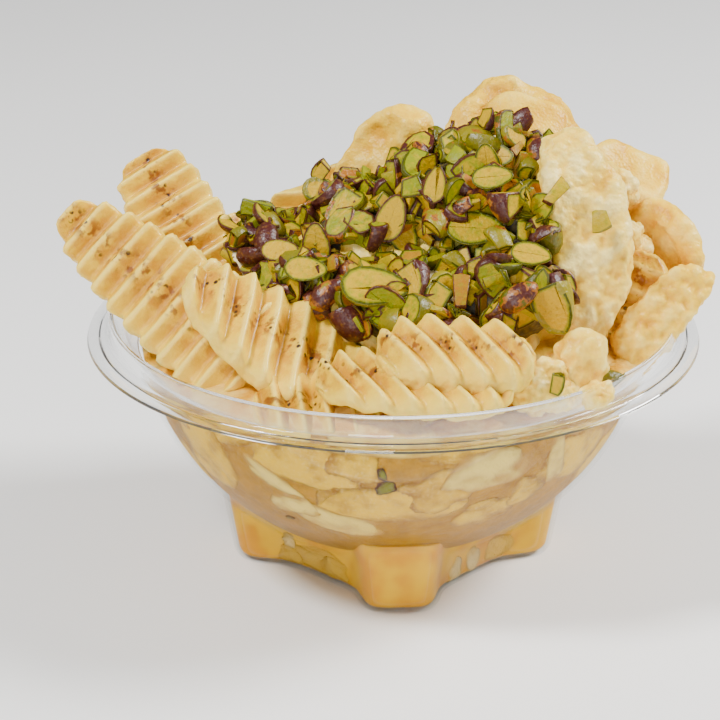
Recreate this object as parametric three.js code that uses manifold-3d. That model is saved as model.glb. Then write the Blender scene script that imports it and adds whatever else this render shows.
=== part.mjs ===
// A clear thermoformed dessert bowl heaped with clotted cream, crinkle-cut banana and chopped pistachios.
// Millimetres, +Z up, front towards -Y. The origin is the centre of the flat underside of the bowl.
import * as THREE from 'three';
import { mergeVertices } from 'three/addons/utils/BufferGeometryUtils.js';
import Module from 'manifold-3d';

const wasm = await Module();
wasm.setup();

// ---- Driving dimensions ----

const GAP = 0.35; // least clearance between neighbouring pieces
const FINENESS = 0.2; // detail smaller than this is smoothed away from a cut piece

const bowl = {
  wall: 0.7,
  basinRadius: 63.5, // the basin is part of a sphere
  basinCentre: 67.2,
  basinTop: 56,
  ridgeRadius: 69.3,
  ridgeHeight: 65.4,
  shoulderRadius: 70.3,
  shoulderHeight: 60,
  ledgeRadius: 72,
  rimRadius: 75,
  rimHeight: 59,
};

const base = {
  apothem: 26.8, // half width of the square base, across its sides
  footReach: 39, // from the middle to the flat front of a foot
  footSpread: THREE.MathUtils.degToRad(14.5), // half angle of a foot
  footEdge: THREE.MathUtils.degToRad(2.6), // softness of its flanks
  facets: [-45, -33, -23, -16, -9, 0, 9, 16, 23, 33], // degrees from the middle of a foot
  turn: THREE.MathUtils.degToRad(2.4),
  flare: 3.5, // outward lean of the foot walls over their height
  height: 21,
  rounding: 3,
  blend: 2, // softness of the joint between a foot and the basin
};

const filling = { level: 56, crown: 4 };
const clearOfWall = 0.4; // between the wall and what fills the bowl

const rib = { depth: 1 }; // half the height of a rib
const edge = { rounding: 1.6, blunt: 0.8 }; // of a banana slice
const oval = { sides: 40, endFlatness: 0.6, sideFlatness: 0.8 }; // 1 is an ellipse, 0 a rectangle

const sheetCut = { steps: 7, rows: 4, endPinch: 0.6, endBulge: 0.3 }; // along the spine and across it
const ripple = { height: 0.6, turns: 0.35, skew: 3 }; // of a cream sheet

// ---- Solids ----

/** A closed three.js geometry as a solid that can be cut and joined. */
function solidOf(geometry) {
  const bare = geometry.clone();
  for (const name of Object.keys(bare.attributes)) {
    if (name !== 'position') bare.deleteAttribute(name);
  }
  const merged = mergeVertices(bare, 1e-3);
  return new wasm.Manifold(new wasm.Mesh({
    numProp: 3,
    vertProperties: merged.attributes.position.array,
    triVerts: new Uint32Array(merged.index.array),
  }));
}

/** The largest body of a cut solid, without its slivers. */
function largestBody(solid) {
  const bodies = solid.simplify(FINENESS).decompose();
  return bodies.reduce((a, b) => (b.volume() > a.volume() ? b : a));
}

/** A solid as a geometry about its own centre, which is returned with it. */
function geometryOf(solid) {
  const { vertProperties, triVerts } = solid.getMesh();
  const geometry = new THREE.BufferGeometry();
  geometry.setAttribute('position', new THREE.BufferAttribute(vertProperties, 3));
  geometry.setIndex(new THREE.BufferAttribute(triVerts, 1));
  geometry.computeBoundingBox();
  const centre = geometry.boundingBox.getCenter(new THREE.Vector3());
  geometry.translate(-centre.x, -centre.y, -centre.z);
  geometry.computeVertexNormals();
  return { geometry, centre };
}

/** Stands a piece at a point, its local X along `toward` and its local Z as near `facing` as that allows. */
function place(geometry, { at, toward, facing }) {
  const x = new THREE.Vector3(...toward).normalize();
  const y = new THREE.Vector3(...facing).cross(x).normalize();
  const z = x.clone().cross(y);
  return geometry.applyMatrix4(new THREE.Matrix4().makeBasis(x, y, z).setPosition(...at));
}

// ---- The bowl and what fills it ----

const smoothMax = (a, b, softness) => 0.5 * (a + b + Math.hypot(a - b, softness));

/** Directions of the vertical edges round the bowl: closest together at the flanks of the four feet. */
const around = [0, 90, 180, 270].flatMap((foot) => base.facets.map(
  (facet) => THREE.MathUtils.degToRad(foot + facet) + base.turn,
));

/** Outline of the base at a height: a square whose corners are drawn out into flat-fronted feet. */
function baseOutline(theta, z) {
  const quarter = Math.PI / 2;
  const turned = theta - base.turn;
  const fromFoot = Math.abs(turned - Math.round(turned / quarter) * quarter);
  const side = base.apothem / Math.cos(quarter / 2 - fromFoot);
  const front = base.footReach / Math.cos(fromFoot);
  const spread = base.footSpread * (1 + (0.16 * z) / base.height);
  const footShare = 1 / (1 + Math.exp((fromFoot - spread) / base.footEdge));
  return side + (front - side) * footShare + (base.flare * z) / base.height;
}

/** Radius of the basin's sphere at a height, `inset` in from its outer skin. */
function basinRadius(z, inset) {
  return Math.sqrt(Math.max(0, (bowl.basinRadius - inset) ** 2 - (bowl.basinCentre - z) ** 2));
}

/** Height of the basin's sphere at a radius. */
function basinHeight(r, inset) {
  return bowl.basinCentre - Math.sqrt((bowl.basinRadius - inset) ** 2 - r * r);
}

/** Radius of a foot or of the side between two feet, `inset` in from its outer skin. */
function footRadius(theta, z, inset) {
  const step = 0.01;
  const outline = baseOutline(theta, z);
  const change = baseOutline(theta + step, z) - baseOutline(theta - step, z);
  const slant = change / (2 * step * outline);
  const rounding = base.rounding - inset;
  const depth = THREE.MathUtils.clamp(1 - (z - inset) / rounding, 0, 1);
  const tuck = rounding * (1 - Math.sqrt(1 - depth * depth));
  return outline - inset * Math.hypot(1, slant) - tuck;
}

/** Radius of the whole wall at a height: the feet below run into the basin above. */
function wallRadius(theta, z, inset) {
  const basin = basinRadius(z, inset);
  return z < base.height ? smoothMax(basin, footRadius(theta, z, inset), base.blend) : basin;
}

/** A closed body from rings, lowest first; each ring gives the radius and height at a direction. */
function turned(rings) {
  const profile = rings.map(() => new THREE.Vector2(1, 0));
  const geometry = new THREE.LatheGeometry(profile, around.length);
  const position = geometry.attributes.position;
  for (let i = 0; i < position.count; i += 1) {
    const theta = around[Math.floor(i / rings.length) % around.length];
    const [r, z] = rings[i % rings.length](theta);
    position.setXYZ(i, r * Math.cos(theta), r * Math.sin(theta), z);
  }
  return solidOf(geometry);
}

/** One skin of the bowl, from the middle of its floor to the edge of its rim. */
function bowlSkin(inset) {
  const floor = [0, 0.6].map((share) => (theta) => [share * wallRadius(theta, inset, inset), inset]);
  const heights = [inset, inset + 0.8, base.rounding, 11, 16, base.height, 33, 46];
  const wall = heights.map((z) => (theta) => [wallRadius(theta, z, inset), z]);
  const rim = [
    [basinRadius(46, 0), 46],
    [basinRadius(bowl.basinTop, 0), bowl.basinTop],
    [bowl.ridgeRadius - 1, bowl.ridgeHeight - 0.5],
    [bowl.ridgeRadius, bowl.ridgeHeight],
    [bowl.shoulderRadius, bowl.shoulderHeight],
    [bowl.ledgeRadius, bowl.shoulderHeight - 0.2],
    [bowl.ledgeRadius + 0.3, bowl.rimHeight],
    [bowl.rimRadius, bowl.rimHeight],
  ];
  const lip = rim.slice(1).map(([r, z], i) => {
    const [r0, z0] = rim[i];
    const [r1, z1] = rim[Math.min(rim.length - 1, i + 2)];
    const length = Math.hypot(r1 - r0, z1 - z0);
    return () => [r - (inset * (z1 - z0)) / length, z + (inset * (r1 - r0)) / length];
  });
  return [...floor, ...wall, ...lip];
}

/** The bowl: one sheet of even thickness, thickened on both faces by `grow`. */
function makeBowl(grow) {
  return turned([...bowlSkin(-grow), ...bowlSkin(bowl.wall + grow).reverse()]);
}

const fillingHeights = [6, 11, 33];

/** The sauce in the feet and under the basin's round bottom. */
function makeSauce(grow) {
  const inset = bowl.wall + clearOfWall - grow;
  const cover = bowl.wall + clearOfWall - GAP - 0.05 - grow; // just clear of the filling's underside
  const top = (theta) => basinHeight(footRadius(theta, 0.7 * base.height, inset) - 1, cover);
  const heights = [() => inset, () => inset + 0.8, () => base.rounding, (theta) => 0.5 * top(theta), top];
  const wall = heights.map((height) => (theta) => [footRadius(theta, height(theta), inset), height(theta)]);
  const underBasin = fillingHeights.slice(0, 2).reverse().map((z) => (theta) => {
    const r = Math.min(basinRadius(z, cover), 0.9 * footRadius(theta, top(theta), inset));
    return [r, basinHeight(r, cover)];
  });
  return turned([() => [0, inset], ...wall, ...underBasin, () => [0, basinHeight(0, cover)]]);
}

/** Banana and cream that fill the basin, clear of its wall, with a low crown. */
function makeFilling(grow) {
  const inset = bowl.wall + clearOfWall - grow;
  const bottom = basinHeight(0, inset);
  const heights = [...fillingHeights, filling.level + grow];
  const wall = heights.map((z) => () => [basinRadius(z, inset), z]);
  const rim = basinRadius(filling.level, inset);
  const top = filling.level + grow;
  return turned([
    () => [0, bottom],
    ...wall,
    () => [0.6 * rim, top + filling.crown * 0.8],
    () => [0, top + filling.crown],
  ]);
}

// ---- Banana ----

/** Outline of a slice seen on its face: a blunt oval that narrows towards its local +X end. */
function sliceOutline({ length, width, taper, endFlatness = oval.endFlatness }) {
  const bulge = (value, flatness) => Math.sign(value) * Math.abs(value) ** flatness;
  return Array.from({ length: oval.sides }, (_, i) => {
    const angle = (i * 2 * Math.PI) / oval.sides;
    const along = bulge(Math.cos(angle), endFlatness);
    const across = bulge(Math.sin(angle), oval.sideFlatness);
    const narrowing = 1 - taper * ((1 + along) / 2) ** 2;
    return new THREE.Vector2((length / 2) * along, (width / 2) * across * narrowing);
  });
}

/** Where a line across an outline, at x = u, enters and leaves it. */
function chordAt(outline, u) {
  const crossings = outline.flatMap((p, i) => {
    const q = outline[(i + 1) % outline.length];
    if ((p.x - u) * (q.x - u) > 0 || p.x === q.x) return [];
    return [p.y + ((q.y - p.y) * (u - p.x)) / (q.x - p.x)];
  });
  return [Math.min(...crossings), Math.max(...crossings)];
}

/**
 * A crinkle-cut slice of banana: its ridged face is at local Z = 0 and its length runs along local X.
 * Both faces share the ridges. With an allowance to `grow` it is the plain space that the slice takes up.
 */
function makeSlice(slice, grow) {
  const { thickness, pitch, ribTurn } = slice;
  const turn = THREE.MathUtils.degToRad(ribTurn);
  const middle = new THREE.Vector2();
  const outline = sliceOutline(slice).map((p) => p.rotateAround(middle, -turn));
  const reach = Math.max(...outline.map((p) => p.x)) - edge.blunt;
  const start = Math.min(...outline.map((p) => p.x)) + edge.blunt;
  const stations = [start];
  const spacing = pitch / 2;
  for (let u = (Math.floor(start / spacing) + 1) * spacing; u < reach - 0.5; u += spacing) stations.push(u);
  stations.push(reach);
  const geometry = new THREE.BoxGeometry(stations.length - 1, 2, 2, stations.length - 1, 1, 2);
  const position = geometry.attributes.position;
  for (let i = 0; i < position.count; i += 1) {
    const index = Math.round(position.getX(i) + (stations.length - 1) / 2);
    const u = stations[index];
    const level = Math.sign(Math.round(position.getZ(i)));
    const [low, high] = chordAt(outline, u);
    const inset = Math.min(level === 0 ? 0 : edge.rounding, (high - low) * 0.3) - grow;
    const v = position.getY(i) < 0 ? low + inset : high - inset;
    const crest = Math.round(Math.abs(u / spacing)) % 2 ? rib.depth : -rib.depth;
    const ridge = grow > 0 ? level * (rib.depth + grow) : crest * Math.abs(level);
    const end = index === 0 ? -grow : (index === stations.length - 1 ? grow : 0);
    position.setXYZ(i, u + end, v, ((level - 1) / 2) * thickness + ridge);
  }
  return solidOf(place(geometry.rotateZ(turn), slice));
}

// ---- Cream ----

/** A thick sheet of clotted cream, bent along a spine in its local XZ plane, its breadth along local Y. */
function makeSheet(sheet, grow) {
  const { spine, thickness, breadth, narrow = 0, sag = 0 } = sheet;
  const curve = new THREE.SplineCurve(spine.map(([x, z]) => new THREE.Vector2(x, z)));
  const { steps } = sheetCut;
  const half = thickness / 2 + grow;
  const side = (sign) => Array.from({ length: steps + 1 }, (_, i) => {
    const p = curve.getPoint(i / steps);
    const t = curve.getTangent(i / steps);
    const end = (i === 0 ? -1 : 0) + (i === steps ? 1 : 0);
    const past = end * (grow + half * sheetCut.endBulge);
    const off = sign * half * (end === 0 ? 1 : sheetCut.endPinch);
    return new THREE.Vector2(p.x + past * t.x - off * t.y, p.y + past * t.y + off * t.x);
  });
  const section = new THREE.Shape([...side(1), ...side(-1).reverse()]);
  const depth = breadth + 2 * grow;
  const geometry = new THREE.ExtrudeGeometry(section, { depth, steps: sheetCut.rows, bevelEnabled: false });
  geometry.translate(0, 0, -depth / 2).rotateX(Math.PI / 2);
  const position = geometry.attributes.position;
  for (let i = 0; i < position.count; i += 1) {
    const across = position.getY(i) / (depth / 2);
    const towardSide = across * across;
    const wave = ripple.height * Math.sin(position.getX(i) * ripple.turns + across * ripple.skew);
    position.setX(i, position.getX(i) * (1 - narrow * towardSide));
    position.setZ(i, position.getZ(i) + sag * towardSide + wave * (1 - towardSide));
  }
  return solidOf(place(geometry, sheet));
}

/** A lump of cream or nuts: an ellipsoid whose radii swell and shrink over its surface. */
function makeLump({ at, radii, tilt = 0, rough = 0.04, detail = 1, seed = 0 }, grow) {
  const geometry = new THREE.IcosahedronGeometry(1, detail);
  const position = geometry.attributes.position;
  const n = new THREE.Vector3();
  for (let i = 0; i < position.count; i += 1) {
    n.fromBufferAttribute(position, i).normalize();
    const broad = Math.sin(5 * n.x + seed) * Math.sin(4 * n.y + 2 * seed);
    const fine = Math.sin(9 * n.z + 6 * n.x + seed);
    const swell = 1 + rough * (broad + 0.7 * fine);
    position.setXYZ(i, ...radii.map((r, axis) => (r + grow) * swell * n.getComponent(axis)));
  }
  geometry.rotateY(THREE.MathUtils.degToRad(tilt)).translate(...at);
  return solidOf(geometry);
}

/** Several lumps run together. */
function makeLumps(lumps, grow) {
  return lumps.map((lump) => makeLump(lump, grow)).reduce((a, b) => a.add(b));
}

// ---- The pieces, topmost first: each is cut back to clear those listed before it ----

const finish = {
  plastic: { color: '#e8eef0', roughness: 0.08, metalness: 0, transparent: true, opacity: 0.35 },
  banana: { color: '#f2d492', roughness: 0.5, metalness: 0 },
  cream: { color: '#f7ebcb', roughness: 0.6, metalness: 0 },
  whiteCream: { color: '#f6f1e2', roughness: 0.55, metalness: 0 },
  sauce: { color: '#f1c556', roughness: 0.35, metalness: 0 },
  filling: { color: '#e6c28a', roughness: 0.5, metalness: 0 },
  nuts: { color: '#8f9a32', roughness: 0.55, metalness: 0 },
};

const slices = [
  { name: 'banana_slice_front_upper', at: [14, -49.5, 75], toward: [0.985, -0.1, -0.03],
    facing: [-0.25, -0.25, 0.93], length: 37, width: 21.5, thickness: 8, pitch: 6.1, ribTurn: 36,
    taper: 0.1 },
  { name: 'banana_slice_front_lower', at: [4.5, -52, 68.6], toward: [-1, 0.05, 0.02],
    facing: [0, -0.2, 0.98], length: 46, width: 25, thickness: 4.6, pitch: 5.7, ribTurn: 31, taper: 0.3 },
  { name: 'banana_slice_centre', at: [-28.5, -34, 72.3], toward: [-1, 0.3, 0.66], facing: [0.32, -0.5, 0.8],
    length: 48, width: 28, thickness: 7, pitch: 7.1, ribTurn: 22, taper: 0.45 },
  { name: 'banana_slice_left', at: [-56.5, -15, 75.8], toward: [-0.701, 0.623, 0.347],
    facing: [-0.333, -0.717, 0.612], length: 69, width: 28.6, thickness: 6, pitch: 6.6, ribTurn: -3,
    taper: 0.55, endFlatness: 0.25 },
  { name: 'banana_slice_left_rear', at: [-52.7, 8, 83.8], toward: [-0.436, 0.707, 0.557],
    facing: [-0.187, -0.676, 0.712], length: 46, width: 24, thickness: 6, pitch: 5.8, ribTurn: 4, taper: 0.3,
    endFlatness: 0.25 },
  { name: 'banana_slice_under', at: [-10, -49, 60], toward: [1, 0, -0.05], facing: [0.05, -0.35, 0.93],
    length: 46, width: 22, thickness: 5, pitch: 5.9, ribTurn: 8, taper: 0.1 },
  { name: 'banana_slice_back', at: [-15, 20, 82], toward: [0.86, 0.2, 0.42], facing: [-0.15, -0.8, 0.58],
    length: 40, width: 24, thickness: 6, pitch: 5.9, ribTurn: 65, taper: 0.1 },
  { name: 'banana_slice_right', at: [54.8, -7, 66.8], toward: [0.495, 0.279, 0.823],
    facing: [-0.3, -0.87, 0.36], length: 31, width: 20, thickness: 5, pitch: 5.9, ribTurn: 10, taper: 0.2 },
  { name: 'banana_slice_rear', at: [-31, 40, 66], toward: [-0.6, 0.72, 0.12], facing: [-0.1, 0.25, 0.96],
    length: 40, width: 24, thickness: 6, pitch: 5.9, ribTurn: 12, taper: 0.3 },
];

const sheets = [
  { name: 'cream_roll_right', spine: [[-12, -1.5], [-6, -0.5], [0, 0], [6, -0.5], [12, -1.5]], thickness: 10,
    breadth: 12, at: [63.3, -12.2, 67], toward: [0.627, 0.23, 0.744], facing: [-0.092, -0.927, 0.364],
    narrow: 0.15, sag: -1.5 },
  { name: 'cream_curl_right', spine: [[-11, 3], [-6, 0.9], [0, 0], [6, 0.9], [11, 3]], thickness: 5,
    breadth: 21, at: [66.6, 12, 75.3], toward: [0.373, -0.354, -0.857], facing: [-0.475, -0.867, 0.152],
    narrow: 0.25, sag: 4.5 },
  { name: 'cream_leaf_right', spine: [[-9, 1.2], [-4, 0.2], [4, 0.2], [9, 1.2]], thickness: 4,
    breadth: 14, at: [58.2, 25, 88.8], toward: [0.875, -0.224, -0.429], facing: [0.167, -0.692, 0.702],
    narrow: 0.2, sag: -1 },
  { name: 'cream_fold_back', spine: [[-14.5, 5], [-8, 1.4], [0, 0], [8, 1.4], [14.5, 5]],
    thickness: 7, breadth: 25, at: [31, 35.5, 94.6], toward: [0.961, -0.129, -0.246],
    facing: [0.025, -0.842, 0.538], narrow: 0.3, sag: 3.6 },
  { name: 'cream_tongue_back', spine: [[-8.8, -1], [-4, -0.2], [4, -0.2], [8.8, -1]], thickness: 4,
    breadth: 12, at: [32.5, 14, 107], toward: [0.933, -0.155, -0.325], facing: [0.135, -0.687, 0.714],
    narrow: 0.2, sag: 0.5 },
  { name: 'cream_slab_rear', spine: [[-15, 1.8], [-7, 0.4], [7, 0.4], [15, 1.8]], thickness: 8, breadth: 18,
    at: [-3, 23, 91], toward: [0.4, 0.28, 0.87], facing: [-0.3, -0.86, 0.41], narrow: 0.25, sag: -1.6 },
  { name: 'cream_fold_rear', spine: [[-20, -8], [-11, 3], [2, 5], [13, 1], [19, -9]], thickness: 8,
    breadth: 26, at: [-2, 44, 72], toward: [1, -0.12, 0.1], facing: [0, 0.5, 0.87], narrow: 0.15, sag: -3 },
];

const slab = {
  spine: [[-23, -3], [-12, -0.8], [0, 0], [12, -0.8], [23, -3]], thickness: 11, breadth: 19,
  at: [45.9, -8, 85.8], toward: [0.12, -0.36, -0.92], facing: [0.1, -0.87, 0.49], narrow: 0.3, sag: 1,
};
const dollop = { at: [43, -43, 66], radii: [7, 7, 11], tilt: 10, rough: 0.07, seed: 2 };

const heapLumps = [
  { at: [-31, 3, 76], radii: [13, 16, 12], seed: 1 },
  { at: [-17, -10, 74], radii: [17, 17, 12], seed: 2 },
  { at: [-4, 3, 84], radii: [19, 17, 14], seed: 3 },
  { at: [6, -20, 72], radii: [21, 18, 13], detail: 2, seed: 4 },
  { at: [14, 4, 91], radii: [19, 18, 15], detail: 2, seed: 5 },
  { at: [26, 9, 98], radii: [16, 14, 13], seed: 6 },
  { at: [27, -18, 75], radii: [17, 17, 14], seed: 7 },
  { at: [30, -5, 86], radii: [15, 14, 14], seed: 8 },
];

const moundLumps = [
  { at: [2, 6, 60], radii: [47, 40, 30], rough: 0.03, seed: 3 },
  { at: [20, 14, 78], radii: [22, 20, 26], rough: 0.03, seed: 4 },
  { at: [4, 31, 61], radii: [46, 24, 16], rough: 0.03, seed: 5 },
];

const pieces = [
  { name: 'bowl', finish: finish.plastic, make: makeBowl },
  ...slices.map((slice) => ({
    name: slice.name, finish: finish.banana, make: (grow) => makeSlice(slice, grow),
  })),
  ...sheets.map((sheet) => ({
    name: sheet.name, finish: finish.cream, make: (grow) => makeSheet(sheet, grow),
  })),
  { name: 'cream_slab_front', finish: finish.whiteCream, make: (grow) => makeSheet(slab, grow) },
  { name: 'cream_dollop', finish: finish.whiteCream, make: (grow) => makeLump(dollop, grow) },
  { name: 'banana_cream_filling', finish: finish.filling, make: makeFilling },
  { name: 'banana_sauce', finish: finish.sauce, make: makeSauce },
  { name: 'cream_mound', finish: finish.whiteCream, make: (grow) => makeLumps(moundLumps, grow) },
  { name: 'pistachio_topping', finish: finish.nuts, make: (grow) => makeLumps(heapLumps, grow) },
];

const group = new THREE.Group();
const standing = [];
for (const { name, finish: look, make } of pieces) {
  const whole = make(0);
  const cut = standing.length ? whole.subtract(wasm.Manifold.union(standing)) : whole;
  standing.push(make(GAP));
  const { geometry, centre } = geometryOf(largestBody(cut));
  const mesh = new THREE.Mesh(geometry, new THREE.MeshStandardMaterial(look));
  mesh.name = name;
  mesh.position.copy(centre);
  group.add(mesh);
}

export default group;
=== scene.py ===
"""The looks of a clear dessert bowl heaped with clotted cream, crinkle-cut banana and chopped pistachios.

Metres, +Z up, front towards -Y. The origin is the centre of the flat underside of the bowl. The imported
model is the frame: each piece here stands for one of its nodes, or lies on or in one, and keeps its place.
"""

import logging
import math
from collections.abc import Callable, Iterator, Sequence
from contextlib import contextmanager
from dataclasses import dataclass
from enum import Enum

import bmesh
import bpy
import numpy as np
from mathutils import Matrix, Vector, noise
from mathutils.kdtree import KDTree


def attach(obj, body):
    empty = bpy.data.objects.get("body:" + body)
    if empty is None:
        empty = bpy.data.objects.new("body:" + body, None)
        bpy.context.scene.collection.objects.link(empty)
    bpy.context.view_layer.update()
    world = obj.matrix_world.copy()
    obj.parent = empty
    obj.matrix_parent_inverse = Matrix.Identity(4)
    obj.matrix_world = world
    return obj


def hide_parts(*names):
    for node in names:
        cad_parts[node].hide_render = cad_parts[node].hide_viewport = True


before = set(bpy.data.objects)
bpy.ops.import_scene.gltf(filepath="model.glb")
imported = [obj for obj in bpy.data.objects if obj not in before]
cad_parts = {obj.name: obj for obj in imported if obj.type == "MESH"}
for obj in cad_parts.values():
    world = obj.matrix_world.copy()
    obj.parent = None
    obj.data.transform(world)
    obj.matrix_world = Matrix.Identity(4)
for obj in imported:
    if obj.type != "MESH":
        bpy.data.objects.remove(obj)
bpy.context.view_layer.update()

MM = 0.001
TINY = 1e-7
LOG = logging.getLogger("dessert")
# Where the camera stands, in millimetres, and how far it is turned up from straight down, in degrees.
CAMERA_AT = (-8.15, -740.485, 353.48)
CAMERA_TILT = 67.76

Point = tuple[float, float, float]
Layers = Sequence[tuple[float, float]]
Piece = bpy.types.Object
Socket = bpy.types.NodeSocket
Finish = bpy.types.Material


class Slot(Enum):
    """The finishes that the record names."""

    CLEAR_PLASTIC = "clear_plastic"
    BANANA = "banana"
    CREAM = "cream"
    WHITE_CREAM = "white_cream"
    FILLING = "banana_and_cream"
    SAUCE = "banana_sauce"
    PISTACHIO = "pistachio"


# ---- The bench: operators on one piece at a time ----


def deselect() -> None:
    """Leaves edit mode and selects nothing."""
    if bpy.context.object and bpy.context.object.mode != "OBJECT":
        bpy.ops.object.mode_set(mode="OBJECT")
    bpy.ops.object.select_all(action="DESELECT")


def take(piece: Piece) -> None:
    """Makes a piece the only one that operators act on.

    Args:
        piece: The piece to work on.
    """
    deselect()
    piece.select_set(True)
    bpy.context.view_layer.objects.active = piece


def named(name: str) -> Piece:
    """Names the piece that was just added, and returns it.

    Args:
        name: The name of the object and of its mesh.

    Returns:
        The piece.
    """
    piece = bpy.context.object
    piece.name = name
    piece.data.name = name
    return piece


@contextmanager
def editing(piece: Piece, element: str = "EDGE") -> Iterator[None]:
    """Edit mode on a piece, with nothing selected at the start.

    Args:
        piece: The piece to edit.
        element: What is selected: "VERT", "EDGE" or "FACE".
    """
    take(piece)
    bpy.ops.object.mode_set(mode="EDIT")
    bpy.ops.mesh.select_mode(type=element)
    bpy.ops.mesh.select_all(action="DESELECT")
    yield
    bpy.ops.object.mode_set(mode="OBJECT")


def pick(piece: Piece, kind: str, test: Callable[..., bool]) -> None:
    """Selects, in edit mode, what passes a test, and nothing else.

    Args:
        piece: The piece in edit mode.
        kind: "verts", "edges" or "faces".
        test: Whether a vertex, edge or face is selected.
    """
    bpy.ops.mesh.select_all(action="DESELECT")
    mesh = bmesh.from_edit_mesh(piece.data)
    for element in getattr(mesh, kind):
        if test(element):
            element.select_set(True)
    bmesh.update_edit_mesh(piece.data)


def applied(piece: Piece, kind: str, **settings: object) -> None:
    """Adds a modifier with these settings and applies it.

    Args:
        piece: The piece to change.
        kind: The type of modifier.
        settings: Its settings by name.
    """
    take(piece)
    modifier = piece.modifiers.new(kind.lower(), kind)
    for name, value in settings.items():
        setattr(modifier, name, value)
    bpy.ops.object.modifier_apply(modifier=modifier.name)


def points_of(piece: Piece) -> np.ndarray:
    """The vertices of a piece, in millimetres.

    Args:
        piece: The piece.

    Returns:
        One row for each vertex.
    """
    flat = np.zeros(len(piece.data.vertices) * 3, np.float32)
    piece.data.vertices.foreach_get("co", flat)
    return flat.reshape(-1, 3).astype(float) / MM


def move_points(piece: Piece, points: np.ndarray) -> None:
    """Puts the vertices of a piece at these points.

    Args:
        piece: The piece to change.
        points: Where each of its vertices goes, in millimetres.
    """
    piece.data.vertices.foreach_set("co", (points * MM).astype(np.float32).ravel())
    piece.data.update()


def mark(piece: Piece, name: str, values: np.ndarray) -> None:
    """Stores a number on a piece for a finish to read.

    Args:
        piece: The piece that carries it.
        name: The name that the finish reads it by.
        values: The number for each vertex.
    """
    attribute = piece.data.attributes.get(name) or piece.data.attributes.new(name, "FLOAT", "POINT")
    attribute.data.foreach_set("value", values.astype(np.float32))


def faces_outward(piece: Piece) -> None:
    """Merges doubled vertices and turns every face outwards.

    Args:
        piece: The piece to mend.
    """
    with editing(piece, "VERT"):
        bpy.ops.mesh.select_all(action="SELECT")
        bpy.ops.mesh.remove_doubles(threshold=0.01 * MM)
        bpy.ops.mesh.normals_make_consistent(inside=False)


def joined(name: str, parts: Sequence[Piece]) -> Piece:
    """Several meshes as one piece.

    Args:
        name: The name of the piece.
        parts: The meshes, which no longer exist by themselves.

    Returns:
        The one piece.
    """
    deselect()
    for part in parts:
        part.select_set(True)
    bpy.context.view_layer.objects.active = parts[0]
    bpy.ops.object.join()
    return named(name)


def cut_block(name: str, cuts: Sequence[int]) -> Piece:
    """A block from -1 to 1 each way, cut into rows along X, Y and Z.

    Args:
        name: The name of the piece.
        cuts: How many cuts cross each axis.

    Returns:
        The block, still in its own units.
    """
    deselect()
    bpy.ops.mesh.primitive_cube_add(size=2 * MM)
    block = named(name)
    for axis, count in enumerate(cuts):
        with editing(block):
            across = {0, 1, 2} - {axis}
            pick(block, "edges", lambda edge: all(
                abs(edge.verts[0].co[i] - edge.verts[1].co[i]) < TINY for i in across))
            bpy.ops.mesh.subdivide(number_cuts=count)
    return block


def ball(name: str, segments: int, rings: int) -> Piece:
    """A sphere of 1 mm radius at the origin.

    Args:
        name: The name of the piece.
        segments: How many strips it has round its axis.
        rings: How many rows it has along its axis.

    Returns:
        The sphere.
    """
    deselect()
    bpy.ops.mesh.primitive_uv_sphere_add(segments=segments, ring_count=rings, radius=MM)
    return named(name)


def smooth(piece: Piece) -> Piece:
    """Shades a piece smooth, and returns it.

    Args:
        piece: The piece to shade.

    Returns:
        The same piece.
    """
    take(piece)
    bpy.ops.object.shade_smooth()
    return piece


def blunted(values: np.ndarray, power: float) -> np.ndarray:
    """Values from -1 to 1 pushed outwards, which squares off a round form.

    Args:
        values: The values, such as the cosine and the sine round an outline.
        power: From 1, which leaves them as they are, down to 0, which pushes them all the way.
    """
    return np.sign(values) * np.abs(values) ** power


def copy_of_node(node: str, name: str) -> Piece:
    """A merged copy of a node's solid, to be worked up into a visible piece.

    Args:
        node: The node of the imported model.
        name: The name of the new piece.

    Returns:
        The copy, which rides on nothing yet.
    """
    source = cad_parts[node]
    deselect()
    piece = bpy.data.objects.new(name, source.data.copy())
    bpy.context.scene.collection.objects.link(piece)
    for key in [key for key in piece.keys() if key.startswith("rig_")]:
        del piece[key]
    piece.data.materials.clear()
    faces_outward(piece)
    return piece


def soft_noise(points: np.ndarray, size: float, seed: float = 0.0) -> np.ndarray:
    """Smooth noise from -1 to 1 at each point.

    Args:
        points: Points in millimetres.
        size: The size of the lumps in millimetres.
        seed: Shifts the pattern.
    """
    shift = Vector((seed * 7.3, seed * 3.1, seed * 5.7))
    return np.array([noise.noise(Vector(p) / size + shift) for p in points])


def roughen(piece: Piece, layers: Layers, seed: float = 0.0) -> None:
    """Moves the surface in and out by layers of noise, and stores how hollow each point is.

    Args:
        piece: The piece to roughen.
        layers: Size and depth in millimetres of each layer of noise.
        seed: Shifts the pattern.
    """
    points = points_of(piece)
    shift = sum(depth * soft_noise(points, size, seed + size) for size, depth in layers)
    total = sum(depth for _, depth in layers)
    roughen_by(piece, shift)
    # The cream finishes paint shade by this: the more hollow a point, the deeper its yellow.
    mark(piece, "hollow", np.clip(0.5 - 0.9 * shift / total, 0, 1))


def roughen_by(piece: Piece, shift: np.ndarray) -> None:
    """Moves each point along its normal.

    Args:
        piece: The piece to change.
        shift: How far each point goes outwards, in millimetres.
    """
    normals = np.zeros(len(shift) * 3, np.float32)
    piece.data.vertices.foreach_get("normal", normals)
    move_points(piece, points_of(piece) + normals.reshape(-1, 3) * shift[:, None])


def to_place(at: Point, toward: Point, facing: Point) -> Matrix:
    """The placement of a piece, in millimetres.

    Args:
        at: Where the origin of the piece goes.
        toward: The direction of its local X.
        facing: The direction that its local Z comes as near to as that allows.

    Returns:
        The matrix that carries the piece to its place.
    """
    x = Vector(toward).normalized()
    y = Vector(facing).cross(x).normalized()
    z = x.cross(y)
    return Matrix.Translation(Vector(at)) @ Matrix((x, y, z)).transposed().to_4x4()


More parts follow.
